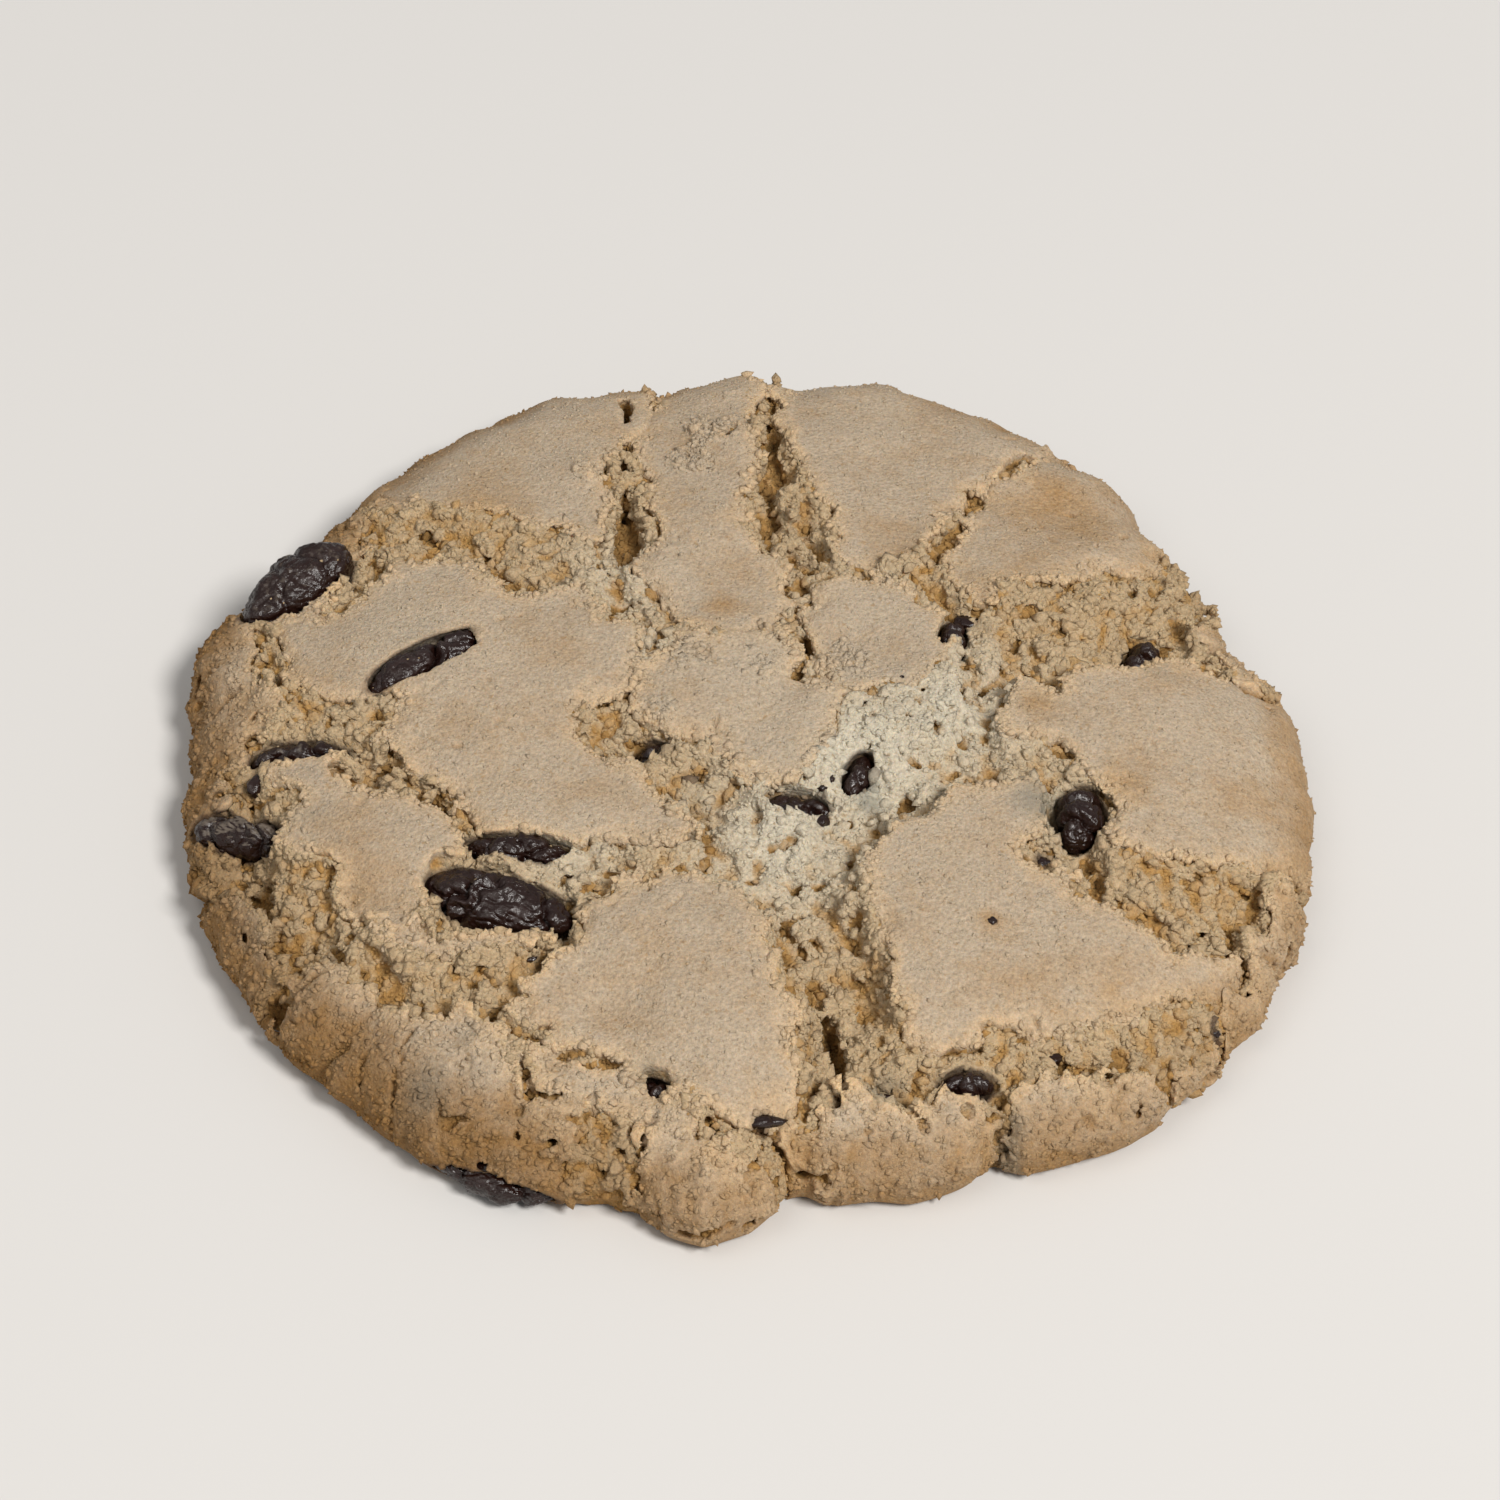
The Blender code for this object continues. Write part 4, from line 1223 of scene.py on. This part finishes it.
STAINS = (
    (6.0, -9.6, 1.0, 0.7), (8.3, -5.8, 0.8, 0.8), (23.9, -16.6, 1.2, 0.9), (-4.8, -6.9, 0.8, 0.9),
    (19.8, -24.4, 0.45, 0.9), (37.3, -30.6, 0.7, 0.9), (1.0, -42.7, 1.3, 0.7),
    (-16.3, -27.2, 0.8, 0.9),
    (-33.0, -25.4, 0.8, 0.7), (-35.1, -22.2, 0.7, 0.6),
)


class COOKIE_OT_dough(bpy.types.Operator):
    """Build the crumb body, the crust plates on it and the rim's crust"""

    bl_idname = "cookie.dough"
    bl_label = "Dough"

    def execute(self, context):
        settings = context.scene.cookie_dough
        dough = Dough(settings)
        material = dough_material(settings, "baked_dough", DOUGH_SUBSURFACE)
        for name, field in zip(DOUGH_PIECES, (dough.body, dough.crust, dough.rim_crust)):
            mesh = surface_mesh(name, field, dough, settings.triangles)
            if volume_of(mesh) < 0.0:
                mesh.flip_normals()
            paint_dough(mesh, dough, name)
            finish_piece(link(name, mesh), material, ["dough"])
        return {"FINISHED"}


# Folds across a chip: places along it from -1 to 1, the slant across it and the strength
FOLDS = {
    "chip_pair_front": ((-0.42, 0.22, 1.0), (-0.12, 0.30, 0.6), (0.62, -0.2, 0.7)),
    "chip_pair_back": ((-0.50, 0.3, 0.6), (0.05, -0.3, 0.7), (0.55, 0.2, 0.9)),
    "chip_back_left": ((-0.30, 0.2, 0.3), (0.40, -0.1, 0.4)),
    "chip_left_top": ((0.05, 0.3, 1.8), (0.55, -0.3, 0.8)),
    "chip_right": ((-0.45, 0.1, 0.8), (0.20, -0.2, 0.7)),
    "chip_left_crack": ((-0.25, 0.3, 1.0), (0.35, -0.2, 0.9)),
}
DEFAULT_FOLDS = ((-0.30, 0.2, 0.7), (0.35, -0.2, 0.8))

# Half a chip's length, in millimetres, under which its mesh is one step coarser
SMALL_CHIP = 3.3

# Number of faces under which a chip's solid is coarse, and is subdivided once more
COARSE_FACES = 200

# Wrinkles of a chip: how far apart they lie and how deep they are
WRINKLES = ((1.1, 0.16), (0.5, 0.07))

# Share of crumb dust on the chips that carry it
DUST = {"chip_back_left": 0.6, "chip_right": 0.4, "chip_left_rim": 0.8, "chip_left_crack": 0.6}
LEAST_DUST = 0.10


def noise_values(points, length, origin):
    """Smooth noise from -1 to 1 at each point, with features of the given length."""
    scaled = points / length + np.array(origin)
    return np.array([noise.noise(Vector(point)) for point in scaled])


def chip_mesh(chip, settings):
    """A chip's coarse shape, smoothed, then folded and wrinkled."""
    shape = bmesh.new()
    shape.from_mesh(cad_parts[chip.name].data)
    bmesh.ops.remove_doubles(shape, verts=shape.verts, dist=1e-6)
    coarse = len(shape.faces) < COARSE_FACES
    item = link(chip.name + "_coarse", mesh_from_shape(chip.name, shape))
    soft = item.modifiers.new("soft", "SUBSURF")
    soft.levels = settings.subdivisions if coarse else settings.subdivisions - 1
    soft.levels -= int(chip.half[0] < SMALL_CHIP)
    soft.render_levels = soft.levels
    result = freeze(item, chip.name)

    points = read_points(result) / MM
    normals = read_normals(result)
    local = chip.local(points)
    seed = sum(map(ord, chip.name)) % 37
    wander = 0.22 * noise_values(points, 1.8, (seed, 0.5, 1.5))
    push = np.zeros(len(points))
    fold = settings.fold_depth / MM * min(1.0, chip.half[1] / 2.5)
    for where, slant, strength in FOLDS.get(chip.name, DEFAULT_FOLDS):
        away = (local[:, 0] - where - slant * local[:, 1] - wander) * chip.half[0]
        push -= fold * strength * np.exp(-np.abs(away) / 0.42)
        push += 0.25 * fold * strength * np.exp(-((away - 0.9) / 0.5) ** 2)
    push += 0.28 * noise_values(points, 2.2, (0.3, seed, 2.5))
    for length, height in WRINKLES:
        valley = 1.0 - 4.0 * np.abs(noise_values(points, length, (seed, 3.5, length)))
        push -= height * np.clip(valley, 0.0, 1.0)
    points += normals * push[:, None]
    points[:, 2] = np.minimum(points[:, 2], HIGHEST)
    write_points(result, points * MM)
    worn = smooth_step(-0.2, 0.5, noise_values(points, 2.6, (1.5, 0.7, seed)))
    upward = smooth_step(0.2, 0.8, read_normals(result)[:, 2])
    dust = DUST.get(chip.name, LEAST_DUST) * upward
    store(result, "worn", worn)
    store(result, "dust", dust)
    store(result, "loose", 0.35 * dust * (noise_values(points, 1.5, (seed, 1.1, 4.0)) > 0.05))
    result.shade_smooth()
    return result


# Small bits of chocolate in the crumb: place, length, width and turn in degrees
BITS = (
    (-4.8, -6.9, 1.3, 0.9, 20), (1.6, -10.0, 1.5, 1.2, 80), (3.2, -11.6, 2.6, 1.3, -5),
    (6.0, -11.5, 1.5, 1.2, 60), (4.8, -9.6, 0.9, 0.6, 40), (6.1, -8.8, 0.7, 0.6, 10),
    (6.8, -7.8, 0.8, 0.6, 70), (8.0, -6.4, 1.3, 0.7, 50), (9.3, -4.9, 1.7, 1.0, 35),
    (17.6, 9.6, 1.6, 0.8, 10), (18.7, 12.6, 2.6, 1.4, -10), (4.9, 19.4, 2.0, 1.1, -30),
    (0.9, -42.6, 3.6, 1.2, 5), (-2.9, -43.6, 1.2, 0.6, -50), (23.9, -16.6, 1.8, 1.2, -20),
    (24.0, -36.0, 1.5, 1.0, 40), (-16.0, -27.1, 1.2, 1.6, 0), (-17.2, -27.0, 0.9, 0.5, 30),
    (-24.6, -31.0, 0.9, 0.8, 0), (-40.6, -5.0, 3.0, 1.6, 60),
    (37.3, -30.5, 0.9, 0.7, 0), (10.7, -38.8, 2.4, 1.0, -20), (12.9, 3.4, 0.5, 0.4, 0),
    (-14.5, -15.6, 0.9, 0.6, 0), (19.5, -24.2, 0.9, 0.8, 0),
)
BIT_SINK = 0.30


def bits_mesh():
    """Every small bit of chocolate, each sunk into the dough under it."""
    trees = [
        BVHTree.FromObject(bpy.data.objects[name], bpy.context.evaluated_depsgraph_get())
        for name in DOUGH_PIECES
    ]
    joined = bmesh.new()
    for number, (x, y, length, width, turn) in enumerate(BITS):
        above = Vector((x + PLAN_SHIFT[0], y + PLAN_SHIFT[1], 30.0)) * MM
        hits = [tree.ray_cast(above, Vector((0.0, 0.0, -1.0)))[0] for tree in trees]
        top = max((hit for hit in hits if hit is not None), key=lambda hit: hit.z)
        before = len(joined.verts)
        matrix = (
            Matrix.Translation(top - Vector((0.0, 0.0, BIT_SINK * width * MM / 2.0)))
            @ Matrix.Rotation(math.radians(turn), 4, "Z")
            @ Matrix.Diagonal((length * MM / 2.0, width * MM / 2.0, width * MM * 0.4, 1.0))
        )
        bmesh.ops.create_icosphere(joined, subdivisions=3, radius=1.0)
        joined.verts.ensure_lookup_table()
        for vertex in joined.verts[before:]:
            lump = noise.noise(vertex.co * 1.4 + Vector((number * 1.7, 0.0, 0.0)))
            lump += 0.5 * noise.noise(vertex.co * 3.1 + Vector((0.0, number * 2.3, 0.0)))
            vertex.co = matrix @ (vertex.co * (1.0 + 0.45 * lump))
            vertex.co.z = min(vertex.co.z, HIGHEST * MM)
    mesh = mesh_from_shape("chip_bits", joined)
    for name in ("worn", "dust"):
        store(mesh, name, np.zeros(len(mesh.vertices)))
    mesh.shade_smooth()
    return mesh


class COOKIE_OT_chips(bpy.types.Operator):
    """Build every chocolate chip over its coarse shape, and the small bits"""

    bl_idname = "cookie.chips"
    bl_label = "Chips"

    def execute(self, context):
        settings = context.scene.cookie_chips
        material = chocolate_material(settings)
        for chip in CHIPS:
            item = link("detailed_" + chip.name, chip_mesh(chip, settings))
            finish_piece(item, material, [chip.name])
        finish_piece(link("chip_bits", bits_mesh()), material, [])
        return {"FINISHED"}


# Grains and crumbs


# Inputs of the tree of nodes that scatters grains, and the kind of each
CRUMB_SOCKETS = {
    "Geometry": "Geometry", "Where": "String", "Density": "Float", "Smallest": "Float",
    "Largest": "Float", "Seed": "Int",
}

# How deep a grain sinks, as a share of its radius, and how rare the large grains are
GRAIN_SINK = 0.15
SIZE_POWER = 2.2
FULL_TURN = 6.283


def crumb_tree(material):
    """Geometry Nodes that scatter lumpy crumbs where an attribute of the surface says."""
    tree = bpy.data.node_groups.new("loose_crumbs", "GeometryNodeTree")
    for name, kind in CRUMB_SOCKETS.items():
        tree.interface.new_socket(name, in_out="INPUT", socket_type="NodeSocket" + kind)
    tree.interface.new_socket("Geometry", in_out="OUTPUT", socket_type="NodeSocketGeometry")

    def add(kind, inputs, **settings):
        node = tree.nodes.new(kind)
        for name, value in settings.items():
            setattr(node, name, value)
        for key, value in inputs.items():
            if isinstance(value, bpy.types.NodeSocket):
                tree.links.new(value, node.inputs[key])
            else:
                node.inputs[key].default_value = value
        return node.outputs

    given = add("NodeGroupInput", {})
    seed = given["Seed"]
    where = add("GeometryNodeInputNamedAttribute", {"Name": given["Where"]}, data_type="FLOAT")
    density = add("ShaderNodeMath", {0: given["Density"], 1: where[0]}, operation="MULTIPLY")
    spread = add(
        "GeometryNodeDistributePointsOnFaces",
        {"Mesh": given["Geometry"], "Density": density[0], "Seed": seed},
        distribute_method="RANDOM",
    )

    ball = add("GeometryNodeMeshIcoSphere", {"Radius": 1.0, "Subdivisions": 1})
    noisy = add("ShaderNodeTexNoise", {"Scale": 1.1, "Detail": 1.0}, noise_dimensions="3D")
    span = {"From Min": 0.3, "From Max": 0.7, "To Min": -0.45, "To Max": 0.5}
    away = add("ShaderNodeMapRange", {"Value": noisy[0], **span})
    normal = add("GeometryNodeInputNormal", {})
    move = add("ShaderNodeVectorMath", {0: normal[0], "Scale": away[0]}, operation="SCALE")
    lumpy = add("GeometryNodeSetPosition", {"Geometry": ball[0], "Offset": move[0]})

    turn = add(
        "FunctionNodeRandomValue", {0: (0.0,) * 3, 1: (FULL_TURN,) * 3, "Seed": seed},
        data_type="FLOAT_VECTOR",
    )
    size = add("FunctionNodeRandomValue", {2: 0.0, 3: 1.0, "Seed": seed}, data_type="FLOAT")
    few = add("ShaderNodeMath", {0: size[1], 1: SIZE_POWER}, operation="POWER")
    radius = add(
        "ShaderNodeMapRange",
        {"Value": few[0], "To Min": given["Smallest"], "To Max": given["Largest"]},
    )
    stretch = add(
        "FunctionNodeRandomValue", {0: (0.55,) * 3, 1: (1.35,) * 3, "Seed": seed},
        data_type="FLOAT_VECTOR",
    )
    shape = add("ShaderNodeVectorMath", {0: stretch[0], "Scale": radius[0]}, operation="SCALE")
    inward = add("ShaderNodeMath", {0: radius[0], 1: -GRAIN_SINK}, operation="MULTIPLY")
    sink = add(
        "ShaderNodeVectorMath", {0: spread["Normal"], "Scale": inward[0]}, operation="SCALE"
    )
    sunk = add("GeometryNodeSetPosition", {"Geometry": spread["Points"], "Offset": sink[0]})

    placed = {"Points": sunk[0], "Instance": lumpy[0], "Rotation": turn[0], "Scale": shape[0]}
    shapes = add("GeometryNodeInstanceOnPoints", placed)
    real = add("GeometryNodeRealizeInstances", {"Geometry": shapes[0]})
    coloured = add("GeometryNodeSetMaterial", {"Geometry": real[0], "Material": material})
    add("NodeGroupOutput", {"Geometry": coloured[0]})
    return tree


def joined_mesh(names):
    """One mesh of several pieces, with their attributes."""
    shape = bmesh.new()
    for name in names:
        shape.from_mesh(bpy.data.objects[name].data)
    return mesh_from_shape("grain_source", shape)


# Grains: the attribute that says where, how many, least and greatest radius, and on what
GRAINS = {
    "loose_crumbs": ("loose", 7800, 0.00010, 0.00026, DOUGH_PIECES),
    "crumb_granules": ("granular", 9300, 0.00022, 0.00064, ("crumb_body",)),
    "crumb_grains": ("granular", 8200, 0.00014, 0.00034, ("crumb_body",)),
    "edge_granules": ("edged", 8900, 0.00014, 0.00048, ("crust_plates",)),
    "rim_granules": ("rimmed", 8400, 0.00014, 0.00040, ("rim_crust",)),
    "sugar_grains": ("sanded", 6200, 0.00010, 0.00020, ("crust_plates",)),
}


def weighted_area(mesh, name):
    """The mesh's area in square metres, each part counted by an attribute's value."""
    faces = read_triangles(mesh)
    values = np.empty(len(mesh.vertices), dtype=np.float32)
    mesh.attributes[name].data.foreach_get("value", values)
    first, second, third = (read_points(mesh)[faces[:, corner]] for corner in range(3))
    areas = np.linalg.norm(np.cross(second - first, third - first), axis=1) / 2.0
    return float((areas * values[faces].mean(axis=1)).sum())


class COOKIE_OT_crumbs(bpy.types.Operator):
    """Scatter the grains of the crumb, the crust's edges, the rim and the crust's faces"""

    bl_idname = "cookie.crumbs"
    bl_label = "Grains and crumbs"

    def execute(self, context):
        settings = context.scene.cookie_crumbs
        dough_settings = context.scene.cookie_dough
        material = dough_material(dough_settings, "baked_grains", GRAIN_SUBSURFACE)
        tree = crumb_tree(material)
        low, high = (np.array(corner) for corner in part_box("dough"))
        for number, (name, kind) in enumerate(GRAINS.items()):
            where, count, smallest, largest, sources = kind
            if name == "loose_crumbs":
                sources += tuple("detailed_" + chip.name for chip in CHIPS)
            source = joined_mesh(sources)
            density = settings.share * count / weighted_area(source, where)
            values = {
                "Where": where, "Density": density, "Smallest": smallest,
                "Largest": largest, "Seed": settings.seed + number,
            }
            item = link(name + "_source", source)
            scatter = item.modifiers.new("scatter", "NODES")
            scatter.node_group = tree
            for socket in tree.interface.items_tree:
                if socket.in_out == "INPUT" and socket.name in values:
                    scatter[socket.identifier] = values[socket.name]
            mesh = freeze(item, name)
            write_points(mesh, np.clip(read_points(mesh), low + 1e-5, high - 1e-5))
            mesh.shade_smooth()
            finish_piece(link(name, mesh), material, [])
        return {"FINISHED"}


# Floor, lights and camera

FLOOR_REACH = 3.0
ROOM_COLOUR = (0.95, 0.95, 0.97, 1.0)
ROOM_STRENGTH = 0.31

# Azimuth and elevation in degrees, distance and size in metres, power and colour
LIGHTS = {
    "window": (-52.0, 50.0, 2.4, 0.70, 58.0, (1.0, 0.97, 0.94)),
    "fill": (-135.0, 60.0, 1.4, 1.0, 3.5, (1.0, 0.95, 0.88)),
}

# Where the camera looks, in millimetres, and its lens
CAMERA_AIM = (0.0, -8.5, 13.0)
SENSOR_WIDTH = 36.0
NEAR_CLIP = 0.01
CAMERA_LENS = 123.07
CAMERA_SHIFT = (0.0013, 0.0167)


def area_light(name, azimuth, elevation, distance, size, power, colour):
    """Add a soft light that looks at the cookie."""
    data = bpy.data.lights.new(name, "AREA")
    data.shape = "DISK"
    data.size = size
    data.energy = power
    data.color = colour
    item = bpy.data.objects.new(name, data)
    bpy.context.scene.collection.objects.link(item)
    turn = math.radians(azimuth)
    tilt = math.radians(elevation)
    away = Vector(
        (math.cos(tilt) * math.cos(turn), math.cos(tilt) * math.sin(turn), math.sin(tilt))
    )
    item.location = away * distance
    item.rotation_euler = (-away).to_track_quat("-Z", "Y").to_euler()


class COOKIE_OT_stage(bpy.types.Operator):
    """Set the floor, the lights and the camera"""

    bl_idname = "cookie.stage"
    bl_label = "Stage"

    def execute(self, context):
        settings = context.scene.cookie_stage
        scene = context.scene
        shape = bmesh.new()
        bmesh.ops.create_grid(shape, x_segments=1, y_segments=1, size=FLOOR_REACH)
        floor = link("floor", mesh_from_shape("floor", shape))
        shader = Shader("pale_floor", Roughness=0.9, Specular_IOR_Level=0.2)
        shader.surface.inputs["Base Color"].default_value = paint(settings.floor_colour)
        floor.data.materials.append(shader.material)

        for name, light in LIGHTS.items():
            area_light(name, *light)
        world = bpy.data.worlds.new("room")
        world.use_nodes = True
        background = world.node_tree.nodes["Background"]
        background.inputs["Color"].default_value = ROOM_COLOUR
        background.inputs["Strength"].default_value = ROOM_STRENGTH
        scene.world = world
        scene.view_settings.view_transform = "Standard"

        camera = bpy.data.cameras.new("camera")
        camera.lens = CAMERA_LENS
        camera.sensor_width = SENSOR_WIDTH
        camera.shift_x, camera.shift_y = CAMERA_SHIFT
        camera.clip_start = NEAR_CLIP
        item = bpy.data.objects.new("camera", camera)
        scene.collection.objects.link(item)
        aim = Vector(CAMERA_AIM) + Vector((*PLAN_SHIFT, 0.0))
        back = Vector((0.0, -math.cos(settings.elevation), math.sin(settings.elevation)))
        item.location = aim * MM + back * settings.distance
        item.rotation_euler = (math.pi / 2.0 - settings.elevation, 0.0, 0.0)
        scene.camera = item
        return {"FINISHED"}


class COOKIE_PT_panel(bpy.types.Panel):
    """The cookie's steps in the 3D view's sidebar"""

    bl_idname = "COOKIE_PT_panel"
    bl_label = "Chocolate chip cookie"
    bl_space_type = "VIEW_3D"
    bl_region_type = "UI"
    bl_category = "Cookie"

    def draw(self, context):
        for operator in OPERATORS:
            self.layout.operator(operator.bl_idname)
        for name in SETTINGS:
            group = getattr(context.scene, name)
            for key in group.__annotations__:
                self.layout.prop(group, key)


SETTINGS = {
    "cookie_dough": CookieDoughSettings,
    "cookie_chips": CookieChipSettings,
    "cookie_crumbs": CookieCrumbSettings,
    "cookie_stage": CookieStageSettings,
}
OPERATORS = (COOKIE_OT_dough, COOKIE_OT_chips, COOKIE_OT_crumbs, COOKIE_OT_stage)


def register():
    for name, group in SETTINGS.items():
        bpy.utils.register_class(group)
        setattr(bpy.types.Scene, name, PointerProperty(type=group))
    for operator in OPERATORS:
        bpy.utils.register_class(operator)
    bpy.utils.register_class(COOKIE_PT_panel)


def unregister():
    bpy.utils.unregister_class(COOKIE_PT_panel)
    for operator in reversed(OPERATORS):
        bpy.utils.unregister_class(operator)
    for name, group in SETTINGS.items():
        delattr(bpy.types.Scene, name)
        bpy.utils.unregister_class(group)


def main():
    """Build the cookie."""
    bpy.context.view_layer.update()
    register()
    bpy.ops.cookie.dough()
    bpy.ops.cookie.chips()
    bpy.ops.cookie.crumbs()
    bpy.ops.cookie.stage()


if __name__ == "__main__":
    main()
